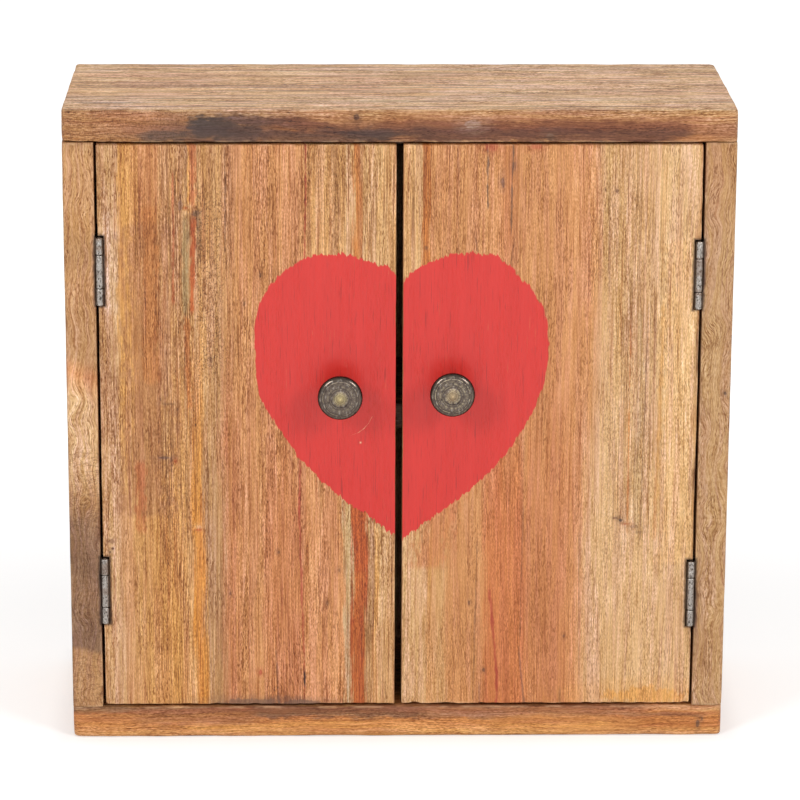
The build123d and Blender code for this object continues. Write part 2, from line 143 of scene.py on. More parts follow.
def wear_edges(piece, low, high, bite, reach, lumps, seed, hollow=0.08, dents=()):
    """Wears a board's edges unevenly and always inwards.

    bite is the deepest wear and reach how far it runs in from an edge.  Each dent is a place, a
    radius and a depth."""
    for corner in piece.data.vertices:
        p = corner.co / MM
        gaps = [min(p[i] - low[i], high[i] - p[i]) for i in range(3)]
        inward = [1 if p[i] - low[i] < high[i] - p[i] else -1 for i in range(3)]
        coarse = max(0.0, rough(p, lumps, seed) - 0.35) / 0.65
        fine = rough(p, [size / 4 for size in lumps], seed + 3)
        shift = [0.0, 0.0, 0.0]
        for i, j in ((0, 1), (1, 2), (0, 2)):
            near = exp(-(gaps[i] + gaps[j]) / reach)
            amount = bite * near * (0.75 * coarse + 0.25 * fine)
            shift[i] += amount
            shift[j] += amount
        dish = hollow * rough(p, (40, 40, 40), seed + 5)
        for i in range(3):
            if gaps[i] < TOUCH:
                shift[i] += dish
        for place, radius, depth in dents:
            away = (p - Vector(place)).length / radius
            if away < 1:
                for i in range(3):
                    if gaps[i] < radius / 2:
                        shift[i] += depth * (1 - away) ** 2 * (0.6 + 0.8 * fine)
        corner.co = Vector([p[i] + inward[i] * shift[i] for i in range(3)]) * MM


def combine(piece, other, operation):
    """Takes another shape out of a piece, or joins it on, and clears it away."""
    take_up(piece)
    step = piece.modifiers.new("step", "BOOLEAN")
    step.operation, step.solver, step.object = operation, "EXACT", other
    bpy.ops.object.modifier_apply(modifier=step.name)
    bpy.data.objects.remove(other)


def drill_out(piece, cutter):
    combine(piece, cutter, "DIFFERENCE")


def smooth(piece, angle=32):
    take_up(piece)
    bpy.ops.object.shade_smooth_by_angle(angle=radians(angle))


# tests for the two ends of an edge
def upright(a, b):
    return abs(a.x - b.x) < TOUCH and abs(a.y - b.y) < TOUCH


def lying_at(axis, place):
    return lambda a, b: abs(a[axis] - place) < TOUCH and abs(b[axis] - place) < TOUCH


def level_at(depth):
    return lambda a, b: lying_at(1, depth)(a, b) and abs(a.z - b.z) < TOUCH


# mixing paints and stains: short ways to build shader nodes
WHITE = (1.0, 1.0, 1.0, 1.0)
ORIGIN = (0.0, 0.0, 0.0)
SOCKETS = {4: "NodeSocketColor", 3: "NodeSocketVector", 1: "NodeSocketFloat"}


def stain(red, green, blue):
    """A colour given as it looks, from 0 to 255, as the shaders take it."""
    shares = (value / 255 for value in (red, green, blue))
    return tuple(s / 12.92 if s <= 0.04045 else ((s + 0.055) / 1.055) ** 2.4 for s in shares) + (
        1.0,
    )


def feed(tree, socket, value):
    if isinstance(value, bpy.types.NodeSocket):
        tree.links.new(value, socket)
    else:
        socket.default_value = value


def add(tree, kind, settings=None, **inputs):
    """A node, with its settings, and with inputs named as Blender names them."""
    made = tree.nodes.new("ShaderNode" + kind)
    made.location = (180 * (len(tree.nodes) % 12), -220 * (len(tree.nodes) // 12))
    for name, value in (settings or {}).items():
        setattr(made, name, value)
    for name, value in inputs.items():
        feed(tree, made.inputs[name.replace("_", " ")], value)
    return made


def calc(tree, operation, *values, kind="Math"):
    made = add(tree, kind, {"operation": operation})
    for socket, value in zip(made.inputs, values):
        feed(tree, socket, value)
    return made.outputs[0]


def in_turn(tree, operation, first, *others):
    """Works through any number of values, two at a time."""
    for value in others:
        first = calc(tree, operation, first, value)
    return first


def total(tree, *values):
    return in_turn(tree, "ADD", *values)


def product(tree, *values):
    return in_turn(tree, "MULTIPLY", *values)


def most(tree, *values):
    return in_turn(tree, "MAXIMUM", *values)


def least(tree, *values):
    return in_turn(tree, "MINIMUM", *values)


def minus(tree, first, second):
    return calc(tree, "SUBTRACT", first, second)


def power(tree, value, exponent):
    return calc(tree, "POWER", value, exponent)


def apart(tree, first, second):
    return calc(tree, "ABSOLUTE", minus(tree, first, second))


def vector(tree, operation, *values):
    return calc(tree, operation, *values, kind="VectorMath")


def join(tree, **sides):
    return add(tree, "CombineXYZ", **sides).outputs[0]


def rise(tree, value, start, end, low=0.0, high=1.0, kind="SMOOTHSTEP"):
    """Goes softly from low to high as value goes from start to end."""
    made = add(tree, "MapRange", {"interpolation_type": kind, "clamp": kind != "LINEAR"})
    for socket, number in zip(made.inputs, (value, start, end, low, high)):
        feed(tree, socket, number)
    return made.outputs[0]


def blend(tree, amount, first, second, kind="MIX"):
    made = add(tree, "Mix", {"data_type": "RGBA", "blend_type": kind, "clamp_factor": True})
    for index, value in ((0, amount), (6, first), (7, second)):
        feed(tree, made.inputs[index], value)
    return made.outputs[2]


def dye(tree, colour, shares):
    """A colour with its red, green and blue taken by these shares."""
    return blend(tree, 1.0, colour, (*shares, 1.0), "MULTIPLY")


def speckle(tree, place, sizes, detail=2.0, shift=0.0):
    """Noise from 0 to 1 with grains of the given sizes in millimetres, even about 0.5."""
    scaled = add(tree, "VectorMath", {"operation": "MULTIPLY_ADD"})
    feed(tree, scaled.inputs[0], place)
    scaled.inputs[1].default_value = [1 / size for size in sizes]
    scaled.inputs[2].default_value = (shift, shift * 1.7, shift * 0.6)
    return add(tree, "TexNoise", Vector=scaled.outputs[0], Scale=1.0, Detail=detail).outputs[0]


def even(tree, value, strength):
    """Turns noise about 0.5 into a change about 0."""
    return product(tree, minus(tree, value, 0.5), strength)


def split(tree, place):
    return add(tree, "SeparateXYZ", Vector=place).outputs


def start_group(name, inputs, outputs):
    """A new group. An input's value tells its kind, and of the outputs only Colour is a colour."""
    tree = bpy.data.node_groups.new(name, "ShaderNodeTree")
    for label, value in inputs.items():
        kind = SOCKETS[len(value) if isinstance(value, tuple) else 1]
        socket = tree.interface.new_socket(name=label, in_out="INPUT", socket_type=kind)
        socket.default_value = value
    for label in outputs:
        kind = SOCKETS[4 if label == "Colour" else 1]
        tree.interface.new_socket(name=label, in_out="OUTPUT", socket_type=kind)
    entry = tree.nodes.new("NodeGroupInput")
    leave = tree.nodes.new("NodeGroupOutput")
    leave.location = (2400, 0)
    return tree, entry.outputs, leave.inputs


def use(tree, group, **values):
    """Places a group with its own values, and gives its outputs."""
    made = add(tree, "Group", {"node_tree": group})
    made.label = group.name
    for label, value in values.items():
        feed(tree, made.inputs[label.replace("_", " ")], value)
    return made.outputs


def make_oiled_grain():
    """Long streaks, clouds and short dark pores of an oiled open-grained hardwood.

    Place is in millimetres, with Z along the grain."""
    tree, given, out = start_group(
        "oiled_grain",
        {"Colour": WHITE, "Place": ORIGIN, "Seed": 0.0, "Streaks": 1.0, "Pores": 1.0,
         "Clouds": 1.0, "Curl": 0.0},
        ("Colour", "Height", "Pores"),
    )
    shifted = add(tree, "VectorMath", {"operation": "SCALE"}, Scale=given["Seed"])
    shifted.inputs[0].default_value = (61.0, 83.0, 47.0)
    start = vector(tree, "ADD", given["Place"], shifted.outputs[0])
    bend = total(
        tree,
        even(tree, speckle(tree, start, (70, 70, 190), 1.0), 6.0),
        product(tree, even(tree, speckle(tree, start, (16, 16, 26), 1.0, 3.3), 1.0), given["Curl"]),
    )
    place = vector(tree, "ADD", start, join(tree, X=bend))

    broad = even(tree, speckle(tree, place, (6, 16, 200), 2.0), 0.58)
    narrow = even(tree, speckle(tree, place, (1.3, 4, 90), 2.0, 5.0), 0.75)
    hair = even(tree, speckle(tree, place, (0.55, 1.6, 18), 1.0, 9.0), 1.6)
    grit = even(tree, speckle(tree, place, (0.55, 1.0, 1.8), 1.0, 12.0), 1.5)
    cloud = even(tree, speckle(tree, start, (26, 26, 60), 2.0, 2.0), 0.5)
    # some parts of a board are smooth and others coarse
    coarse = rise(tree, speckle(tree, place, (9, 30, 110), 2.0, 45.0), 0.36, 0.64, 0.6, 1.3)
    fine = product(tree, total(tree, hair, grit), coarse)
    streaks = product(tree, total(tree, broad, narrow, fine), given["Streaks"])
    change = total(tree, 1.0, streaks, product(tree, cloud, given["Clouds"]))
    toned = vector(tree, "MULTIPLY", given["Colour"], join(
        tree, X=power(tree, change, 0.7), Y=change, Z=power(tree, change, 1.6)
    ))

    # pinker and yellower threads beside each other
    pinkness = rise(tree, speckle(tree, place, (2.4, 9, 60), 3.0, 21.0), 0.42, 0.60)
    pinker = dye(tree, toned, (1.01, 0.985, 0.99))
    yellower = dye(tree, toned, (1.0, 1.0, 0.83))
    mixed = blend(tree, pinkness, yellower, pinker)
    brown = dye(tree, mixed, (0.62, 0.43, 0.26))
    dark_thread = rise(tree, speckle(tree, place, (0.8, 2.5, 60), 2.0, 27.0), 0.56, 0.68)
    threads = blend(tree, product(tree, dark_thread, given["Streaks"], 0.7), mixed, brown)

    short = rise(tree, speckle(tree, place, (0.45, 0.7, 2.8), 1.0, 31.0), 0.52, 0.67)
    long = rise(tree, speckle(tree, place, (0.5, 0.8, 10.0), 1.0, 37.0), 0.54, 0.69)
    crowd = rise(tree, speckle(tree, place, (7, 20, 50), 1.0, 41.0), 0.38, 0.62, 0.3, 1.0)
    pores = product(tree, most(tree, short, product(tree, long, 0.8)), crowd)
    depth = product(tree, pores, given["Pores"], 0.85)
    dark = dye(tree, threads, (0.40, 0.26, 0.15))
    feed(tree, out["Colour"], blend(tree, depth, threads, dark))
    feed(tree, out["Height"], minus(tree, product(tree, hair, 0.5), depth))
    feed(tree, out["Pores"], pores)
    return tree


def make_grain_line():
    """One thread of another colour along the grain, between a foot and a head."""
    tree, given, out = start_group(
        "grain_line",
        {"Colour": WHITE, "Across": 0.0, "Along": 0.0, "Foot across": 0.0, "Foot along": 0.0,
         "Head across": 0.0, "Head along": 1.0, "Width": 1.0, "Tone": WHITE, "Strength": 1.0,
         "Fade": 5.0, "Ragged": 0.0},
        ("Colour",),
    )
    centre = rise(
        tree, given["Along"], given["Foot along"], given["Head along"],
        given["Foot across"], given["Head across"], "LINEAR",
    )
    away = total(
        tree,
        apart(tree, given["Across"], centre),
        product(tree, given["Ragged"], given["Width"], 0.9),
    )
    thread = rise(tree, away, given["Width"], product(tree, given["Width"], 0.3))
    low_end = minus(tree, given["Foot along"], given["Fade"])
    high_end = total(tree, given["Head along"], given["Fade"])
    above = rise(tree, given["Along"], low_end, given["Foot along"])
    below = rise(tree, given["Along"], high_end, given["Head along"])
    mask = product(tree, thread, above, below, given["Strength"])
    feed(tree, out["Colour"], blend(tree, mask, given["Colour"], given["Tone"]))
    return tree


def make_pin_knot():
    """A small knot, speck or stain: a soft oval with a fainter ring of its tone round it."""
    tree, given, out = start_group(
        "pin_knot",
        {"Colour": WHITE, "Across": 0.0, "Along": 0.0, "Place across": 0.0, "Place along": 0.0,
         "Half width": 1.0, "Half length": 1.0, "Tone": WHITE, "Strength": 1.0, "Ragged": 0.0},
        ("Colour",),
    )
    squares = []
    for here, there, size in (
        ("Across", "Place across", "Half width"), ("Along", "Place along", "Half length")
    ):
        off = calc(tree, "DIVIDE", minus(tree, given[here], given[there]), given[size])
        squares.append(power(tree, calc(tree, "ABSOLUTE", off), 2.0))
    ragged = product(tree, given["Ragged"], 0.75)
    away = total(tree, calc(tree, "SQRT", total(tree, *squares)), ragged)
    core = rise(tree, away, 1.15, 0.55)
    ring = product(tree, rise(tree, away, 2.4, 1.2), 0.28)
    mask = product(tree, most(tree, core, ring), given["Strength"])
    feed(tree, out["Colour"], blend(tree, mask, given["Colour"], given["Tone"]))
    return tree


def make_edge_wear():
    """Rubbed pale and grimy dark patches along the edges of a board with known corners."""
    tree, given, out = start_group(
        "edge_wear",
        {"Colour": WHITE, "Place": ORIGIN, "Low corner": ORIGIN, "High corner": ORIGIN,
         "Reach": 2.0, "Rubbed": 0.3, "Grime": 0.3, "Seed": 0.0},
        ("Colour", "Near"),
    )
    from_low = vector(tree, "SUBTRACT", given["Place"], given["Low corner"])
    from_high = vector(tree, "SUBTRACT", given["High corner"], given["Place"])
    gaps = split(tree, vector(tree, "MINIMUM", from_low, from_high))
    outer_two = total(tree, most(tree, *gaps), least(tree, *gaps))
    middle = minus(tree, total(tree, *gaps), outer_two)
    seeded = vector(tree, "ADD", given["Place"], join(tree, X=product(tree, given["Seed"], 53.0)))
    ragged = even(tree, speckle(tree, seeded, (3, 3, 3), 3.0), 1.6)
    reach = product(tree, given["Reach"], total(tree, 1.0, ragged))
    near = rise(tree, middle, reach, 0.0)
    patch = rise(tree, speckle(tree, seeded, (14, 14, 14), 2.0, 3.0), 0.42, 0.58)
    pale = blend(tree, 0.55, given["Colour"], stain(232, 196, 156))
    dark = dye(tree, given["Colour"], (0.34, 0.24, 0.18))
    rubbed = product(tree, near, patch, given["Rubbed"])
    grimy = product(tree, near, minus(tree, 1.0, patch), given["Grime"])
    rubbed_colour = blend(tree, rubbed, given["Colour"], pale)
    feed(tree, out["Colour"], blend(tree, grimy, rubbed_colour, dark))
    feed(tree, out["Near"], near)
    return tree


HEART_MIDDLE = (1.1, 198.2)
HEART_HALF = (75.2, 78.3)


def make_heart_paint():
    """A heart brushed in red across both doors' faces, with ragged ends to its strokes."""
    tree, given, out = start_group(
        "heart_paint",
        {"Colour": WHITE, "Place": ORIGIN, "Pores": 0.0},
        ("Colour", "Mask", "Height"),
    )
    place = given["Place"]
    lean = even(tree, speckle(tree, place, (16, 16, 30), 2.0), 7.0)
    edge = even(tree, speckle(tree, place, (1.4, 3, 6), 2.0, 7.0), 1.9)
    bristles = even(tree, speckle(tree, place, (1.1, 3, 60), 2.0, 11.0), 6.0)
    sides = split(tree, place)
    off_across = minus(tree, total(tree, sides[0], lean, edge), HEART_MIDDLE[0])
    off_up = minus(tree, total(tree, sides[2], lean, bristles), HEART_MIDDLE[1])
    across = calc(tree, "DIVIDE", off_across, HEART_HALF[0])
    up = calc(tree, "DIVIDE", off_up, HEART_HALF[1])
    wide = calc(tree, "ABSOLUTE", across)
    lobes = product(tree, power(tree, wide, 0.6667), up)
    circle = total(tree, product(tree, across, across), product(tree, up, up))
    field = minus(tree, circle, total(tree, lobes, 1.0))
    shape = rise(tree, field, 0.008, -0.010)
    on_face = rise(tree, sides[1], DOOR_FRONT + 0.75, DOOR_FRONT + 0.35)
    mask = product(tree, shape, on_face)

    thin = speckle(tree, place, (0.9, 2, 30), 3.0, 17.0)
    broad = speckle(tree, place, (5, 5, 70), 2.0, 19.0)
    shade = total(tree, 1.0, even(tree, thin, 0.13), even(tree, broad, 0.16))
    # painted shade: the paint is darker red along fine grooves, which catch no sheen
    shaded_grooves = rise(tree, speckle(tree, place, (0.6, 1, 17), 2.0, 29.0), 0.60, 0.72, 0.0, 0.45)
    paint = blend(tree, shaded_grooves, stain(209, 48, 41), stain(126, 32, 30))
    deeper = power(tree, shade, 1.6)
    brushed = blend(tree, 1.0, paint, join(tree, X=shade, Y=deeper, Z=deeper), "MULTIPLY")
    gaps = product(tree, rise(tree, given["Pores"], 0.75, 1.0), 0.1)
    worn = product(tree, rise(tree, speckle(tree, place, (1.2, 2, 18), 2.0, 23.0), 0.68, 0.78), 0.4)
    bare = most(tree, gaps, product(tree, worn, 0.4))
    cover = product(tree, mask, minus(tree, 1.0, bare))
    feed(tree, out["Colour"], blend(tree, cover, given["Colour"], brushed))
    feed(tree, out["Mask"], cover)
    feed(tree, out["Height"], product(tree, mask, total(tree, 0.5, even(tree, thin, 0.8))))
    return tree


def make_metal_patina():
    """Dark and pale mottling of an old metal surface."""
    tree, given, out = start_group(
        "metal_patina",
        {"Colour": WHITE, "Dark": WHITE, "Pale": WHITE, "Place": ORIGIN, "Amount": 1.0,
         "Dull": 0.5},
        ("Colour", "Roughness", "Height"),
    )
    place = given["Place"]
    blotch = speckle(tree, place, (2.2, 2.2, 3.2), 3.0)
    grit = speckle(tree, place, (0.45, 0.45, 0.45), 2.0, 5.0)
    dark = product(tree, rise(tree, blotch, 0.50, 0.66), given["Amount"])
    pale = product(tree, rise(tree, speckle(tree, place, (1.1, 1.1, 2.4), 3.0, 9.0), 0.54, 0.68),
                   given["Amount"])
    toned = blend(tree, dark, blend(tree, pale, given["Colour"], given["Pale"]), given["Dark"])
    specked = blend(tree, rise(tree, grit, 0.58, 0.72, 0.0, 0.5), toned, given["Dark"])
    feed(tree, out["Colour"], specked)
    feed(tree, out["Roughness"], total(tree, given["Dull"], even(tree, blotch, 0.5)))
    feed(tree, out["Height"], total(tree, product(tree, blotch, 0.7), product(tree, grit, 0.3)))
    return tree


STAIN_AND_SHADE_HALF_WIDTH = 2.7
STAIN_AND_SHADE_HALF_LENGTH = 20.6


def make_iron_stain_and_shade():
    """The dark rim round an iron hinge's seat in the wood, for two hinges: partly the stain that
    iron leaves, partly painted shade round the notch.
    """
    tree, given, out = start_group(
        "iron_stain_and_shade",
        {"Colour": WHITE, "Place": ORIGIN, "Pin across": 0.0, "Low hinge": 0.0, "High hinge": 0.0,
         "Strength": 0.8},
        ("Colour",),
    )
    sides = split(tree, given["Place"])
    off = apart(tree, sides[0], given["Pin across"])
    low = apart(tree, sides[2], given["Low hinge"])
    high = apart(tree, sides[2], given["High hinge"])
    beyond = most(
        tree, minus(tree, off, STAIN_AND_SHADE_HALF_WIDTH),
        minus(tree, least(tree, low, high), STAIN_AND_SHADE_HALF_LENGTH),
    )
    ragged = even(tree, speckle(tree, given["Place"], (1.6, 2, 4), 3.0, 61.0), 2.4)
    in_front = rise(tree, sides[1], -54.0, -57.0)
    mask = product(
        tree, rise(tree, total(tree, beyond, ragged), 1.7, 0.1), in_front, given["Strength"]
    )
    # partly iron stain, partly painted shade: the wood within a few millimetres of the pin darkens
    # along each hinge
    dark = dye(tree, given["Colour"], (0.16, 0.13, 0.12))
    feed(tree, out["Colour"], blend(tree, mask, given["Colour"], dark))
    return tree


OILED_GRAIN = make_oiled_grain()
GRAIN_LINE = make_grain_line()
PIN_KNOT = make_pin_knot()
EDGE_WEAR = make_edge_wear()
HEART_PAINT = make_heart_paint()
METAL_PATINA = make_metal_patina()
IRON_STAIN_AND_SHADE = make_iron_stain_and_shade()

GRAIN_DEPTH = 0.12

# wood tones, as they look in soft daylight
TONES = {
    "honey": stain(210, 155, 98),
    "pale honey": stain(213, 160, 110),
    "cream": stain(212, 166, 120),
    "pale cream": stain(221, 178, 136),
    "pink cream": stain(216, 171, 131),
    "grey tan": stain(190, 143, 101),
    "pale grey": stain(200, 165, 126),
    "yellow grey": stain(196, 146, 98),
    "brown": stain(190, 128, 77),
    "orange": stain(196, 120, 60),
    "amber": stain(209, 150, 86),
    "salmon": stain(204, 142, 94),
    "deep salmon": stain(199, 130, 85),
    "pink salmon": stain(212, 148, 102),
    "red": stain(176, 74, 52),
    "dark red": stain(124, 78, 58),
    "umber": stain(122, 80, 52),
    "ink": stain(84, 64, 56),
    "night": stain(62, 45, 41),
    "burnt": stain(92, 56, 40),
    "russet": stain(160, 92, 48),
    "marigold": stain(216, 145, 66),
    "ginger": stain(200, 129, 71),
    "butter": stain(240, 190, 134),
    "wine": stain(97, 53, 34),
    "deep honey": stain(204, 145, 84),
    "golden": stain(228, 166, 94),
    "fox": stain(184, 88, 38),
    "lichen": stain(168, 140, 104),
    "plum": stain(112, 78, 74),
    "deep orange": stain(200, 121, 73),
    "pale pink": stain(228, 190, 160),
    "black": stain(48, 34, 28),
    "tan": stain(202, 152, 106),
    "dull tan": stain(194, 152, 112),
    "rust": stain(208, 142, 84),
    "smoke": stain(112, 84, 68),
    "haze": stain(168, 142, 126),
    "gold": stain(194, 147, 104),
    "dusk": stain(170, 116, 78),
    "board": stain(194, 143, 99),
    "oiled board": stain(243, 191, 145),
    "faded board": stain(245, 203, 164),
    "pale board": stain(243, 200, 161),
    "shaded board": stain(229, 172, 124),
    "scratch": stain(240, 190, 150),
    "shaded wood": stain(158, 119, 91),
    "dark wood": stain(138, 102, 78),
}


def bands(tree, value, stops):
    """Bands of wood tones, each stop a place in millimetres and a tone."""
    first, last = stops[0][0], stops[-1][0]
    share = rise(tree, value, first, last, 0.0, 1.0, "LINEAR")
    ramp = add(tree, "ValToRGB", Fac=share)
    elements = ramp.color_ramp.elements
    while len(elements) < len(stops):
        elements.new(0.5)
    for element, (place, _) in zip(elements, stops):
        element.position = (place - first) / (last - first)
    for element, (_, tone) in zip(elements, stops):
        element.color = TONES[tone]
    return ramp.outputs[0]


def start_material(name):
    material = bpy.data.materials.new(name)
    material.use_nodes = True
    tree = material.node_tree
    shader = tree.nodes["Principled BSDF"]
    shader.location = (2600, 200)
    tree.nodes["Material Output"].location = (2900, 200)
    here = add(tree, "TexCoord").outputs["Object"]
    place = add(tree, "Mapping", Vector=here, Scale=(1000, 1000, 1000)).outputs[0]
    return material, tree, shader, place


def turned_grain(tree, place):
    """The place turned so that the grain, which runs along X here, runs along Z."""
    return add(tree, "Mapping", Vector=place, Rotation=(0, radians(-90), 0)).outputs[0]


def coat(tree, shader, colour, roughness, height, strength, distance, metallic=0.0):
    """Feeds a material's shader, with its relief no deeper than the distance in millimetres."""
    relief = add(tree, "Bump", Height=height, Strength=strength, Distance=distance * MM)
    feed(tree, shader.inputs["Base Color"], colour)
    feed(tree, shader.inputs["Roughness"], roughness)
    feed(tree, shader.inputs["Normal"], relief.outputs[0])
    shader.inputs["Metallic"].default_value = metallic


def draw_figure(tree, colour, across, along, grain_place, lines=(), knots=(), fade=5.0,
                raggedness=2.6):
    """Adds a board's own threads, stains and knots, one after another.

    A line is its foot and its head, each across and along the board, its width, its tone and its
    strength.  A knot is its place, its half width and half length, its tone and its strength."""
    if not lines and not knots:
        return colour
    ragged = even(tree, speckle(tree, grain_place, (2.2, 4, 6), 4.0, 51.0), raggedness)
    for foot_across, foot_along, head_across, head_along, width, tone, strength in lines:
        colour = use(
            tree, GRAIN_LINE, Colour=colour, Across=across, Along=along, Foot_across=foot_across,
            Foot_along=foot_along, Head_across=head_across, Head_along=head_along, Width=width,
            Tone=TONES[tone], Strength=strength, Fade=fade, Ragged=ragged,
        )["Colour"]
    for place_across, place_along, half_width, half_length, tone, strength in knots:
        colour = use(
            tree, PIN_KNOT, Colour=colour, Across=across, Along=along, Place_across=place_across,
            Place_along=place_along, Half_width=half_width, Half_length=half_length,
            Tone=TONES[tone], Strength=strength, Ragged=ragged,
        )["Colour"]
    return colour


def finish_wood(tree, shader, colour, place, grain_place, corners, seed, grain, wear):
    """Grain, worn edges and the oiled surface, and what feeds the shader's sockets."""
    streaks, pores, clouds, curl = grain
    reach, rubbed, grime = wear
    wood = use(
        tree, OILED_GRAIN, Colour=colour, Place=grain_place, Seed=seed,
        Streaks=streaks, Pores=pores, Clouds=clouds, Curl=curl,
    )
    worn = use(
        tree, EDGE_WEAR, Colour=wood["Colour"], Place=place, Low_corner=corners[0],
        High_corner=corners[1], Reach=reach, Rubbed=rubbed, Grime=grime, Seed=seed,
    )
    matt = total(tree, 0.5, product(tree, wood["Pores"], 0.25), product(tree, worn["Near"], 0.08))
    shader.inputs["Specular IOR Level"].default_value = 0.45
    return wood, worn, matt


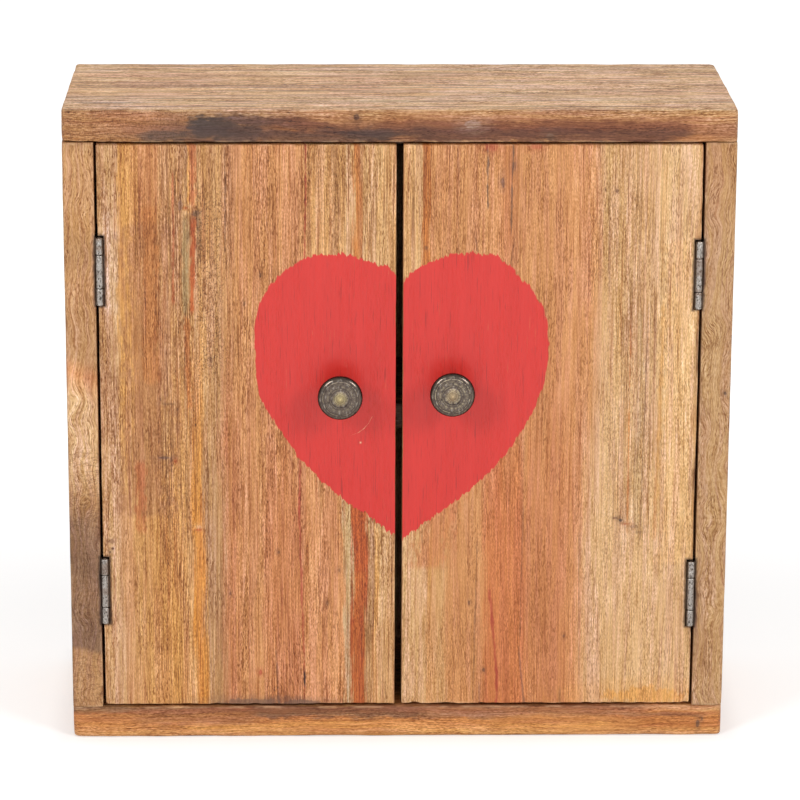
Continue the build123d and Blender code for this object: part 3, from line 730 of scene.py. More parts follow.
# the two doors' figure: bands near the head and near the foot, then what is drawn over them, in
# the order that draw_figure, add_flecks and add_threads take it
DOOR_FIGURE = {
    "left": {
        "high": [
            (-173.2, "grey tan"), (-171, "tan"), (-168, "pink cream"), (-162.5, "pink cream"),
            (-161, "amber"), (-154, "amber"), (-150, "brown"), (-138.5, "brown"),
            (-136.5, "pale honey"), (-121, "grey tan"), (-114, "pale honey"), (-104, "tan"),
            (-92, "salmon"), (-57, "salmon"), (-51.5, "pale honey"), (-41, "pale honey"),
            (-39, "yellow grey"), (-32, "pale honey"), (-30, "cream"), (-27, "cream"),
            (-25.5, "orange"), (-22, "brown"), (-20, "cream"), (-10, "cream"), (-2, "pale honey"),
        ],
        "low": [
            (-173.2, "tan"), (-163, "pink cream"), (-158, "pale honey"), (-148, "honey"),
            (-139, "deep honey"), (-132, "amber"), (-128, "amber"), (-121, "pale honey"),
            (-118.5, "marigold"), (-115.5, "marigold"), (-112, "grey tan"), (-106, "grey tan"),
            (-98, "deep salmon"), (-90, "salmon"), (-80, "salmon"), (-74, "deep salmon"),
            (-59, "deep salmon"), (-53, "pink salmon"), (-33, "pink salmon"), (-31, "pale grey"),
            (-28, "pale grey"), (-26.5, "fox"), (-19.5, "fox"), (-18, "grey tan"),
            (-15, "grey tan"), (-13.5, "amber"), (-11, "cream"), (-2, "tan"),
        ],
        "lines": [
            (-147, 140, -142, 310, 22.0, "dusk", 0.62),
            (-143, 220, -143, 320, 6.0, "orange", 0.5), (-168, 190, -168, 275, 7.0, "dusk", 0.3),
            (-166, 262, -166.5, 318, 4.2, "pale pink", 0.6),
            (-24, 20, -24, 100, 6.0, "orange", 0.35),
            (-120.2, 326, -119.6, 362, 1.7, "golden", 0.9),
            (-118.2, 324, -117.8, 362, 3.0, "deep orange", 0.85),
            (-119.4, 262, -118.0, 315, 1.9, "fox", 0.9),
            (-123.2, 262, -122.8, 314, 2.3, "lichen", 0.8),
            (-130.2, 268, -129.4, 340, 0.9, "fox", 0.6),
            (-115.4, 290, -114.9, 314, 2.6, "plum", 0.4),
            (-121.5, 205, -122.4, 255, 2.2, "orange", 0.8),
            (-151, 130, -150.5, 168, 4.0, "fox", 0.5),
            (-115.8, 310, -115.4, 358, 0.8, "ink", 0.35),
            (-100, 297, -99.7, 356, 0.7, "umber", 0.6),
            (-54.7, 291, -53.7, 361, 0.75, "red", 0.85),
            (-56.4, 249, -54.7, 291, 0.7, "red", 0.8), (-58.1, 140, -56.4, 249, 0.7, "red", 0.8),
            (-55.4, 37, -58.1, 140, 0.9, "red", 0.7), (-55.4, 18, -55.4, 37, 0.9, "red", 0.6),
            (-55.3, 34, -55.3, 39, 0.8, "black", 0.9),
            (-70.6, 22, -72, 52, 0.8, "dark red", 0.65),
        ],
        "knots": [
            (-125.4, 323.4, 2.0, 3.4, "plum", 0.8), (-116.7, 318.8, 3.0, 2.2, "plum", 0.85),
            (-116.9, 318.6, 1.0, 1.0, "night", 0.8), (-121.0, 321.6, 3.7, 3.9, "golden", 0.6),
            (-120.2, 322.6, 1.6, 1.4, "pale cream", 0.85),
            (-122.6, 319.0, 1.5, 1.6, "pale cream", 0.6), (-122.2, 321.9, 1.3, 0.8, "fox", 0.85),
            (-108.7, 231.6, 1.1, 1.8, "umber", 0.8), (-138, 208.1, 1.0, 1.8, "umber", 0.8),
            (-133.0, 205.5, 4.6, 0.9, "umber", 0.6), (-136.0, 173.0, 5.0, 1.0, "plum", 0.75),
            (-130.4, 170.6, 1.5, 1.4, "fox", 0.85), (-128.7, 202.1, 0.9, 1.4, "umber", 0.7),
            (-132.6, 171.7, 0.9, 1.6, "umber", 0.7), (-116.9, 130.6, 2.6, 1.5, "pale cream", 0.6),
            (-117.2, 129.0, 2.2, 0.9, "fox", 0.75), (-98.8, 89.6, 1.0, 1.7, "dark red", 0.8),
            (-80, 282.3, 1.0, 1.5, "umber", 0.8), (-89.3, 265.7, 1.0, 1.8, "umber", 0.7),
            (-70.4, 115, 1.0, 1.6, "dark red", 0.8), (-35.1, 103.7, 1.0, 1.6, "dark red", 0.7),
            (-41.6, 83.2, 1.0, 1.6, "umber", 0.7), (-81.4, 40.6, 1.5, 1.9, "red", 0.8),
            (-168, 122, 2.2, 1.6, "dark red", 0.7),
        ],
        "flecks": [
            (-117, -101, 215, 335, 0.85), (-140, -118, 120, 200, 0.4), (-57, -30, 300, 360, 0.4),
            (-173, -167, 300, 352, 0.5),
        ],
        "threads": [
            (-137, -121, 220, 364, 0.7), (-113, -90, 290, 364, 0.5), (-54, -28, 285, 364, 0.6),
            (-20, -2, 285, 364, 0.8), (-140, -117, 118, 225, 0.85), (-116, -104, 118, 225, 0.4),
            (-136, -100, 18, 110, 0.5), (-88, -60, 280, 364, 0.4), (-36, -1, 18, 120, 0.5),
        ],
        "calm": (1.05, 1.05),
        "scratches": [
            (-27.0, 186.8, -23.5, 188.2, 0.22, "scratch", 0.35),
            (-23.5, 188.2, -20.5, 190.4, 0.24, "scratch", 0.5),
            (-20.5, 190.4, -17.8, 193.6, 0.22, "scratch", 0.45),
            (-17.8, 193.6, -15.8, 197.4, 0.2, "scratch", 0.3),
        ],
        "specks": [
            (-22.4, 182, 0.45, 0.45, "scratch", 0.9), (-88, 21.5, 22, 2.6, "smoke", 0.75),
            (-58, 21.0, 16, 2.2, "smoke", 0.8), (-66, 23, 3, 4, "wine", 0.5),
            (-171.8, 309.0, 1.1, 2.6, "pale cream", 0.9), (-171.2, 304.9, 1.1, 1.6, "night", 0.9),
            (-167.4, 117.6, 1.0, 0.8, "wine", 0.95), (-168.9, 115.4, 0.9, 1.2, "night", 0.8),
        ],
    },
    "right": {
        "high": [
            (1.9, "pale honey"), (12.5, "cream"), (13.7, "orange"), (17.5, "orange"),
            (18.5, "salmon"), (23.5, "salmon"), (25, "salmon"), (47, "salmon"), (53, "salmon"),
            (62, "deep salmon"), (69, "salmon"), (92, "salmon"), (98, "pink salmon"),
            (104, "salmon"), (110, "pink salmon"), (118, "cream"), (129, "cream"),
            (134, "pink cream"), (144, "pink cream"), (150, "pale cream"), (170, "pale cream"),
            (172, "tan"), (173.2, "tan"),
        ],
        "low": [
            (1.9, "pale cream"), (12, "cream"), (16.5, "cream"), (18, "honey"), (26, "tan"),
            (30, "salmon"), (47, "salmon"), (52, "deep orange"), (72, "deep orange"),
            (77, "deep salmon"), (90, "deep salmon"), (97, "deep salmon"), (105, "pink salmon"),
            (112, "pink cream"), (122, "pale cream"), (146, "pale cream"), (152, "pale cream"),
            (171, "pale cream"), (173.2, "tan"),
        ],
        "lines": [
            (50.4, 324, 49.7, 358, 0.9, "ink", 0.75), (63.9, 309, 64.2, 360, 0.8, "ink", 0.7),
            (54.7, 252, 43.2, 304, 0.6, "umber", 0.5), (59.4, 252, 65.2, 300, 0.6, "umber", 0.5),
            (44.5, 25, 46, 118, 0.5, "umber", 0.5), (55.5, 74, 53.9, 89, 1.2, "red", 0.75),
            (58.3, 40, 55.5, 74, 1.2, "red", 0.8), (58.4, 18, 58.3, 40, 1.2, "red", 0.85),
            (71.5, 53, 73, 140, 0.5, "umber", 0.45), (75, 20, 71.5, 53, 0.8, "dark red", 0.65),
            (48.5, 20, 48, 30, 0.8, "dark red", 0.55), (96, 21, 96, 27, 0.9, "dark red", 0.6),
            (107, 30, 106, 125, 0.6, "umber", 0.35), (134, 130, 133.6, 262, 0.6, "orange", 0.8),
            (141.6, 125, 143.6, 262, 0.6, "umber", 0.55),
            (150.2, 125, 152.4, 262, 1.6, "honey", 0.8),
            (162, 110, 164, 300, 14.0, "butter", 0.4),
            (18, 108, 26, 150, 15.0, "deep orange", 0.6),
            (131, 134, 130.5, 258, 2.6, "grey tan", 0.55),
            (139, 134, 139.5, 258, 3.0, "pale grey", 0.5),
            (7.5, 299, 7.5, 358, 0.5, "umber", 0.35), (34, 299, 33, 358, 0.5, "umber", 0.3),
            (121, 270, 119, 358, 0.5, "umber", 0.3),
        ],
        "knots": [
            (123.9, 331.8, 0.9, 1.1, "umber", 0.85), (117.6, 332.4, 0.7, 0.9, "umber", 0.8),
            (15.1, 298.3, 0.9, 1.3, "umber", 0.7), (58.4, 337.6, 1.4, 4.5, "plum", 0.75),
            (65.0, 346, 1.6, 3.5, "plum", 0.5), (41.8, 83.6, 1.0, 1.6, "dark red", 0.85),
            (50.5, 41.5, 1.4, 1.7, "dark red", 0.9), (129.9, 134.2, 1.5, 1.5, "ink", 0.9),
            (126.6, 135.6, 1.6, 0.8, "umber", 0.8), (133.6, 132.0, 2.2, 0.9, "fox", 0.7),
            (138.5, 130.2, 4.2, 1.2, "umber", 0.6), (141.0, 127.0, 3.0, 0.8, "umber", 0.5),
            (97.8, 62.7, 1.1, 1.6, "dark red", 0.8), (172.9, 236, 1.5, 22, "umber", 0.7),
            (172.8, 161, 1.8, 10, "umber", 0.7), (172.8, 78, 1.8, 16, "umber", 0.6),
            (148, 25, 29, 6.5, "golden", 0.85),
        ],
        "flecks": [
            (106, 140, 270, 345, 0.35), (118, 146, 110, 262, 0.35),
        ],
        "threads": [
            (2, 18, 285, 364, 0.7), (127, 152, 255, 364, 0.55), (18, 30, 285, 364, 0.4),
            (124, 148, 118, 262, 0.6), (60, 68, 300, 364, 0.5), (100, 172, 18, 80, 0.2),
        ],
        "calm": (0.78, 0.92),
        "scratches": [
            (1.9, 330, 2.0, 357, 0.5, "honey", 0.4),
        ],
        "specks": [
            (52, 357.5, 4, 3.0, "red", 0.55), (77, 357.5, 5, 2.0, "red", 0.5),
            (25, 20.3, 12, 1.0, "pale cream", 0.6),
        ],
    },
}


HINGE_AXIS = (172.05, -70.4)
HINGE_HEIGHTS = {"left": (91.7, 284.8), "right": (89.2, 282.3)}


def stain_and_shade_by_hinges(tree, colour, place, side):
    """Dark rims round the seats of one side's two hinges: partly iron stain, partly painted shade
    round the notches.
    """
    low, high = HINGE_HEIGHTS[side]
    pin = HINGE_AXIS[0] * (-1 if side == "left" else 1)
    return use(
        tree, IRON_STAIN_AND_SHADE, Colour=colour, Place=place, Pin_across=pin, Low_hinge=low,
        High_hinge=high, Strength=0.85,
    )["Colour"]


def within(tree, value, start, end, outside, inside):
    """1 between two places, fading out from so far inside to so far outside each of them."""
    return product(
        tree, rise(tree, value, start - outside, start + inside),
        rise(tree, value, end + outside, end - inside),
    )


def add_flecks(tree, colour, place, sides, left, right, foot, head, strength):
    """Crowds short dark flecks into one part of a board's face."""
    lean = even(tree, speckle(tree, place, (6, 20, 20), 2.0, 71.0), 14.0)
    across, along = total(tree, sides[0], lean), total(tree, sides[2], product(tree, lean, 2.0))
    here = product(
        tree, within(tree, across, left, right, 3, 3), within(tree, along, foot, head, 14, 14)
    )
    flecks = rise(tree, speckle(tree, place, (0.75, 1, 1.2), 2.0, 77.0), 0.50, 0.66)
    dark = dye(tree, colour, (0.36, 0.27, 0.20))
    return blend(tree, product(tree, here, flecks, strength), colour, dark)


def add_threads(tree, colour, place, sides, left, right, foot, head, strength):
    """Crowds long dark and pale threads into one part of a board's face."""
    lean = even(tree, speckle(tree, place, (6, 20, 40), 2.0, 87.0), 8.0)
    across, along = total(tree, sides[0], lean), total(tree, sides[2], product(tree, lean, 5.0))
    here = product(
        tree, within(tree, across, left, right, 2, 2), within(tree, along, foot, head, 16, 8)
    )
    bend = even(tree, speckle(tree, place, (40, 40, 60), 1.0, 89.0), 3.0)
    bent = vector(tree, "ADD", place, join(tree, X=bend))
    dark_one = rise(tree, speckle(tree, bent, (0.85, 2.5, 85), 2.0, 91.0), 0.50, 0.62)
    pale_one = rise(tree, speckle(tree, bent, (1.0, 2.5, 75), 2.0, 95.0), 0.50, 0.64)
    paler = dye(tree, colour, (1.20, 1.18, 1.15))
    mixed = blend(tree, product(tree, here, pale_one, strength), colour, paler)
    darker = dye(tree, mixed, (0.52, 0.40, 0.26))
    return blend(tree, product(tree, here, dark_one, strength), mixed, darker)


def make_door_wood(side, seed, corners):
    """A door's wood: bands that change on the way up, its own figure, the stains and the paint."""
    material, tree, shader, place = start_material(f"door_wood_{side}")
    figure = DOOR_FIGURE[side]
    sides = split(tree, place)
    sway = even(tree, speckle(tree, place, (30, 200, 70), 1.0, seed), 7.0)
    waver = total(
        tree,
        even(tree, speckle(tree, place, (3, 40, 16), 2.0, seed + 4), 3.0),
        even(tree, speckle(tree, place, (0.8, 3, 26), 2.0, seed + 6), 7.5),
    )
    curl = product(tree, total(tree, sides[1], -DOOR_FRONT), 0.35)
    across = total(tree, sides[0], sway, waver, curl)
    near_across = total(tree, sides[0], product(tree, waver, 0.2), curl)
    high = bands(tree, across, figure["high"])
    low = bands(tree, across, figure["low"])
    uneven = even(tree, speckle(tree, place, (5, 60, 400), 2.0, seed + 8), 260)
    level = rise(tree, total(tree, sides[2], uneven), 130, 270)
    base = blend(tree, level, low, high)
    base = draw_figure(tree, base, near_across, sides[2], place, figure["lines"], figure["knots"])
    strength = rise(tree, level, 0.0, 1.0, *figure["calm"], kind="LINEAR")
    wood, worn, matt = finish_wood(
        tree, shader, base, place, place, corners, seed, (strength, strength, 1.0, 0.0),
        (1.3, 0.5, 0.6),
    )
    flecked = worn["Colour"]
    for left, right, foot, head, strength in figure["flecks"]:
        flecked = add_flecks(tree, flecked, place, sides, left, right, foot, head, strength)
    for left, right, foot, head, strength in figure["threads"]:
        flecked = add_threads(tree, flecked, place, sides, left, right, foot, head, strength)
    rimmed = stain_and_shade_by_hinges(tree, flecked, place, side)
    paint = use(tree, HEART_PAINT, Colour=rimmed, Place=place, Pores=wood["Pores"])
    marked = draw_figure(
        tree, paint["Colour"], sides[0], sides[2], place, figure["scratches"], figure["specks"], 0.7
    )
    roughness = total(tree, matt, product(tree, paint["Mask"], -0.2))
    height = total(tree, wood["Height"], product(tree, paint["Height"], 0.6))
    coat(tree, shader, marked, roughness, height, 0.55, GRAIN_DEPTH)
    return material


def add_squiggles(tree, colour, place, up, foot, head, strength):
    """Thin dark curly figure between two heights, as where a branch grew."""
    line, other = (
        rise(tree, apart(tree, speckle(tree, place, sizes, 3.0, shift), 0.5), 0.030, 0.006)
        for sizes, shift in (((7, 7, 3.2), 81.0), ((5, 5, 2.6), 85.0))
    )
    here = within(tree, up, foot, head, 6, 6)
    dark = dye(tree, colour, (0.40, 0.30, 0.24))
    mask = product(tree, most(tree, line, other), here, strength)
    return blend(tree, mask, colour, dark)


# streaks all over an upper face: sizes, shift, where each starts and is full, share and tone
UPPER_STREAKS = (
    ((30, 6.0, 190), 73.0, 0.48, 0.60, 0.6, "oiled board"),
    ((30, 3.4, 150), 79.0, 0.52, 0.62, 0.6, "faded board"),
    ((30, 3.2, 130), 71.0, 0.52, 0.62, 0.48, "dusk"),
    ((30, 2.2, 90), 75.0, 0.54, 0.62, 0.5, "umber"),
)


def make_plain_wood(name, stops, seed, corners, along_x=False, by_height=None,
                    grain=(1.0, 1.0, 1.0, 0.0), wear=(1.8, 0.5, 0.5), lines=(), knots=(),
                    upper=None, hinge_side=None, squiggles=(), flecks=(), behind=None):
    """A board's wood: bands across it or up it, its own threads and knots, and its grain.

    by_height is for bands that go up the board: how much they slope, and how far up they move.
    upper holds the bands, threads and knots of the face seen from above, and the pale streaks
    over them.  behind is the depth where the front's figure has faded out, and the bands from
    front to back beyond it."""
    material, tree, shader, place = start_material(name)
    sides = split(tree, place)
    waver = even(tree, speckle(tree, place, (20, 20, 20), 3.0, seed), 6.0)
    if by_height:
        slope, shift = by_height
        slant = product(tree, sides[0], slope)
        base = bands(tree, total(tree, sides[2], product(tree, waver, 2.0), slant, shift), stops)
    else:
        base = bands(tree, total(tree, sides[2 if along_x else 0], waver), stops)
    across, along = (sides[2], sides[0]) if along_x else (sides[0], sides[2])
    grain_place = turned_grain(tree, place) if along_x else place
    soft = even(tree, speckle(tree, grain_place, (5, 5, 14), 3.0, seed + 2), 4.0)
    base = draw_figure(
        tree, base, total(tree, across, soft), along, grain_place, lines, knots, 12.0, 1.5
    )
    shown = 1.0
    if behind:
        shown = rise(tree, total(tree, sides[1], product(tree, waver, 0.4)), behind[0],
                     behind[0] - 7)
        plain = bands(tree, total(tree, sides[1], waver), behind[1])
        base = blend(tree, shown, plain, base)
    if upper:
        face, threads, spots, pale_streaks = upper
        soft = even(tree, speckle(tree, grain_place, (5, 5, 60), 3.0, seed + 4), 5.0)
        deep = total(tree, sides[1], product(tree, soft, 0.3))
        above = bands(tree, total(tree, sides[1], soft), face)
        above = draw_figure(tree, above, deep, sides[0], grain_place, threads, spots)
        for sizes, shift, start, end, share, tone in UPPER_STREAKS:
            streak = rise(tree, speckle(tree, grain_place, sizes, 2.0, shift), start, end)
            above = blend(tree, product(tree, streak, share), above, TONES[tone])
        above = draw_figure(tree, above, deep, sides[0], grain_place, pale_streaks, [], 12.0, 1.5)
        rim = corners[1][2]
        base = blend(tree, rise(tree, sides[2], rim - 0.9, rim - 0.4), base, above)
    wood, worn, matt = finish_wood(
        tree, shader, base, place, grain_place, corners, seed, grain, wear
    )
    colour = worn["Colour"]
    for left, right, foot, head, strength in flecks:
        colour = add_flecks(
            tree, colour, place, sides, left, right, foot, head, product(tree, shown, strength)
        )
    for foot, head, strength in squiggles:
        colour = add_squiggles(
            tree, colour, place, sides[2], foot, head, product(tree, shown, strength)
        )
    if hinge_side:
        colour = stain_and_shade_by_hinges(tree, colour, place, hinge_side)
    coat(tree, shader, colour, matt, wood["Height"], 0.5, GRAIN_DEPTH)
    return material


def make_metal(name, colour, dark, pale, amount, dull, lumps=0.06, metallic=1.0,
               fine=(1.0, 1.0, 1.0), grime=False):
    """Old metal. fine makes the mottling smaller, and grime adds rust patches and darkens a
    barrel's deep sides, partly as dirt and partly as painted shade in the notch.
    """
    material, tree, shader, place = start_material(name)
    old = use(tree, METAL_PATINA, Colour=colour, Dark=dark, Pale=pale,
              Place=vector(tree, "MULTIPLY", place, fine), Amount=amount, Dull=dull)
    toned = old["Colour"]
    if grime:
        rusty = rise(tree, speckle(tree, place, (20, 20, 8), 1.0, 4.0), 0.52, 0.60, 0.0, 0.45)
        toned = blend(tree, rusty, toned, stain(118, 94, 78))
        # partly dirt, partly painted shade: from the front of the barrel backwards the iron turns
        # dark, most within 4 mm behind the pin and less on the leaves further back
        depth = split(tree, place)[1]
        deep = product(
            tree, rise(tree, depth, HINGE_AXIS[1] - 2.15, HINGE_AXIS[1] - 0.9, 0, 0.85),
            rise(tree, depth, HINGE_AXIS[1] + 8.0, HINGE_AXIS[1] + 3.6, 0.35, 1.0),
        )
        toned = blend(tree, deep, toned, stain(62, 52, 45))
    coat(tree, shader, toned, old["Roughness"], old["Height"], 0.5, lumps, metallic)
    return material


# how bright each knob's rings are, as rubbed brass and painted sheen, and the colour of its boss
KNOB_WEAR_AND_SHEEN = {"left": (0.35, stain(204, 186, 134)), "right": (0.7, stain(190, 166, 130))}


def make_knob_brass(side, centre):
    """Aged brass with the turning lines of its own knob."""
    material, tree, shader, place = start_material(f"aged_brass_{side}")
    local = add(tree, "Mapping", Vector=place, Location=(-centre[0], 0, -centre[1])).outputs[0]
    sides = split(tree, local)
    squares = total(tree, product(tree, sides[0], sides[0]), product(tree, sides[2], sides[2]))
    radius = calc(tree, "SQRT", squares)
    ring_place = join(tree, X=radius, Y=product(tree, sides[1], 0.6))
    wobble = even(tree, speckle(tree, local, (2.4, 2.4, 2.4), 3.0, 2.0), 0.6)
    uneven = vector(tree, "ADD", ring_place, join(tree, X=wobble))
    rings = speckle(tree, uneven, (0.42, 0.8, 1), 1.0, 3.0)
    broken = rise(tree, speckle(tree, local, (1.5, 1.5, 1.5), 3.0, 6.0), 0.42, 0.62)
    broad = speckle(tree, uneven, (1.7, 2, 1), 2.0, 8.0)
    old = use(
        tree, METAL_PATINA, Colour=stain(92, 81, 74), Dark=stain(50, 43, 43),
        Pale=stain(150, 142, 134), Place=local, Amount=0.6, Dull=0.22,
    )
    turned = blend(tree, rise(tree, rings, 0.46, 0.58, 0.0, 0.6), old["Colour"], stain(54, 46, 41))
    shine, yellow = KNOB_WEAR_AND_SHEEN[side]
    # pale rings: partly brass rubbed bright, partly painted sheen along the turning lines
    shining = product(tree, rise(tree, rings, 0.50, 0.40, 0.0, shine), broken)
    lit = blend(tree, shining, turned, stain(172, 158, 128))
    lit = blend(tree, rise(tree, broad, 0.48, 0.62, 0.0, 0.5), lit, old["Colour"])
    boss = rise(tree, total(tree, radius, product(tree, wobble, 1.6)), 4.8, 0.3)
    in_front = rise(tree, sides[1], DOOR_FRONT - 19, DOOR_FRONT - 20)
    tipped = blend(tree, product(tree, boss, in_front, 0.8), lit, blend(
        tree, rise(tree, rings, 0.45, 0.6, 0.0, 0.5), yellow, stain(96, 80, 56)
    ))
    rim = product(tree, rise(tree, radius, 11.6, 12.8), 0.8)
    rimmed = blend(tree, rim, tipped, stain(44, 38, 34))
    roughness = total(tree, old["Roughness"], product(tree, boss, in_front, 0.2))
    height = total(tree, product(tree, rings, 0.6), product(tree, old["Height"], 0.4))
    coat(tree, shader, rimmed, roughness, height, 0.5, 0.08, 1.0)
    return material


def make_moulding(name, colour):
    """Plain moulded plastic with a fine grain."""
    material, tree, shader, place = start_material(name)
    grit = speckle(tree, place, (0.3, 0.3, 0.3), 2.0)
    cloud = speckle(tree, place, (9, 9, 9), 2.0, 4.0)
    shade = total(tree, 1.0, even(tree, grit, 0.25), even(tree, cloud, 0.3))
    tint = join(tree, X=shade, Y=shade, Z=shade)
    tinted = blend(tree, 1.0, colour, tint, "MULTIPLY")
    coat(tree, shader, tinted, total(tree, 0.5, even(tree, cloud, 0.3)), grit, 0.4, 0.04)
    return material


def dress(node_name, material):
    """Gives a CAD node its finish."""
    slots = nodes[node_name].data.materials
    slots.clear()
    slots.append(material)


def seat(piece, body, slot, material, *stands_for):
    """Puts a finished piece on its body in place of the CAD nodes it stands for."""
    piece.data.materials.clear()
    piece.data.materials.append(material)
    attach(piece, body)
    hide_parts(*stands_for)


# the boards of the carcass
def node_corners(name):
    low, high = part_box(name)
    return tuple(low / MM), tuple(high / MM)


def shape_end_board(name, corner_round, outer_round, inner_round, seed, dents=()):
    """The top or bottom board: rounded ends, a sanded rim and worn edges."""
    low, high = node_corners(name)
    board = saw_block(f"{name}_worn", low, high)
    round_over(board, upright, corner_round, 5)
    outer_z, inner_z = (high[2], low[2]) if low[2] > 100 else (low[2], high[2])
    for z, radius, steps in ((outer_z, outer_round, 4), (inner_z, inner_round, 3)):
        round_over(board, lying_at(2, z), radius, steps)
    score(board, 0, spaced(low[0], high[0], 3.0, (6.0,)))
    score(board, 1, spaced(low[1], high[1], 4.0, (3.5, 6.0)))
    score(board, 2, spaced(low[2], high[2], 3.0))
    wear_edges(board, low, high, 0.7, 2.2, (17, 17, 9), seed, dents=dents)
    smooth(board)
    return board, (low, high)


def shape_side_board(side, seed, dents=()):
    s = -1 if side == "left" else 1
    name = f"side_board_{side}"
    low, high = node_corners(name)
    board = saw_block(f"{name}_worn", low, high)
    outer_x = max(abs(low[0]), abs(high[0])) * s
    round_over(board, lambda a, b: upright(a, b) and abs(a.x - outer_x) < TOUCH, 1.4, 3)
    round_over(board, lambda a, b: upright(a, b) and abs(a.x - outer_x) > 10 and a.y < 0, 0.3, 2)
    score(board, 0, spaced(low[0], high[0], 4.5, (0.9, 3)))
    score(board, 1, spaced(low[1], high[1], 5.0, (3,)))
    score(board, 2, spaced(low[2], high[2], 4.0, (1,)))
    wear_edges(board, low, high, 0.55, 1.8, (9, 12, 21), seed, dents=dents)
    let_in_hanger(board, side)
    smooth(board)
    return board, (low, high)


HANGER_X = 183.5
HANGER_HEIGHT = 315.0
HANGER_SLOT = (44.2, 13.2)
HANGER_POCKET = (22.6, 9.6)


def slot_block(name, x, z, length, width, rear_y, front_y):
    """A round-ended block, upright, for cutting a recess from behind."""
    clear_selection()
    bpy.ops.mesh.primitive_cylinder_add(
        vertices=48, radius=width / 2 * MM, depth=(rear_y - front_y) * MM,
        location=(x * MM, (rear_y + front_y) / 2 * MM, z * MM), rotation=(radians(90), 0, 0),
    )
    block = settle(name)
    stretch = (length - width) / 2 * MM
    for corner in block.data.vertices:
        if abs(corner.co.z - z * MM) > 1e-7:
            corner.co.z += stretch if corner.co.z > z * MM else -stretch
    return block


def let_in_hanger(board, side):
    """The recess and pocket for a keyhole plate in the rear edge."""
    x = (-1 if side == "left" else 1) * HANGER_X
    drill_out(board, slot_block("recess", x, HANGER_HEIGHT, *HANGER_SLOT, 71.0, 68.2))
    drill_out(board, slot_block("pocket", x, HANGER_HEIGHT + 2.5, *HANGER_POCKET, 69.0, 60.2))


def shape_shelf():
    low, high = node_corners("shelf")
    board = saw_block("shelf_worn", low, high)
    round_over(board, level_at(low[1]), 0.8, 3)
    score(board, 0, spaced(low[0], high[0], 6.0))
    score(board, 1, spaced(low[1], high[1], 8.0, (2.5,)))
    score(board, 2, spaced(low[2], high[2], 4.0))
    wear_edges(board, low, high, 0.5, 1.5, (20, 20, 8), 31, 0.05)
    smooth(board)
    return board, (low, high)


# doors, with the seats of their hinges
NOTCH_HEIGHT = 41.4
NOTCH_RADIUS = 2.8
SEAT_X = 169.6
SEAT_REAR = -56.7
BEYOND_DOOR = 175.0
BEFORE_DOOR = -72.0


def shape_door(side, seed, dents=()):
    s = -1 if side == "left" else 1
    name = f"door_{side}"
    low, high = node_corners(name)
    door = saw_block(f"{name}_painted", low, high)
    round_over(door, lambda a, b: True, 0.5, 3)
    score(door, 0, spaced(low[0], high[0], 1.4, (0.4,)))
    score(door, 1, spaced(low[1], high[1], 4.0, (2.0,)))
    score(door, 2, spaced(low[2], high[2], 4.5, (0.4, 1.4, 3.0)))
    wear_edges(door, low, high, 0.6, 1.5, (8, 9, 15), seed, 0.10, dents)
    fray_ends(door, low, high, 2.2, seed)
    for height in HINGE_HEIGHTS[side]:
        foot, head = height - NOTCH_HEIGHT / 2, height + NOTCH_HEIGHT / 2
        left, right = sorted((SEAT_X * s, BEYOND_DOOR * s))
        drill_out(door, saw_block("seat", (left, BEFORE_DOOR, foot), (right, SEAT_REAR, head)))
        drill_out(door, upright_rod(
            "notch", HINGE_AXIS[0] * s, HINGE_AXIS[1], foot, head, NOTCH_RADIUS, 48
        ))
    smooth(door)
    return door, (low, high)


# hinge leaves, with rolled knuckles and countersunk holes
KNUCKLE_RADIUS = 2.3
LEAF_FACE = 2.45
LEAF_THICKNESS = 1.2
LEAF_WIDTH = 13.0
LEAF_HALF_LENGTH = 20.0
TURN_LENGTH = 10.0
TURN_GAP = 0.15
BORE_RADIUS = 1.15
CLEARANCE_RADIUS = 2.6
SCREW_OFFSETS = (-12.0, 12.0)
SCREW_INSET = 8.4


def upright_rod(name, x, y, low, high, radius, corners=40):
    clear_selection()
    bpy.ops.mesh.primitive_cylinder_add(
        vertices=corners, radius=radius * MM, depth=(high - low) * MM,
        location=(x * MM, y * MM, (low + high) / 2 * MM),
    )
    return settle(name)


def roll_knuckle(x, low, high, seed):
    """One turn of the barrel: eased ends and a lightly hammered skin."""
    knuckle = upright_rod("knuckle", x, HINGE_AXIS[1], low, high, KNUCKLE_RADIUS)
    round_over(
        knuckle,
        lambda a, b: abs(a.z - b.z) < TOUCH and all(
            Vector((end.x - x, end.y - HINGE_AXIS[1])).length > 2 for end in (a, b)
        ),
        0.6, 2,
    )
    score(knuckle, 2, spaced(low, high, 1.0, (0.5,)))
    for corner in knuckle.data.vertices:
        p = corner.co / MM
        out = Vector((p.x - x, p.y - HINGE_AXIS[1], 0))
        dent = 0.16 * max(0.0, rough(p, (1.3, 1.3, 1.8), seed) - 0.4)
        corner.co = (p - out.normalized() * dent) * MM
    return knuckle


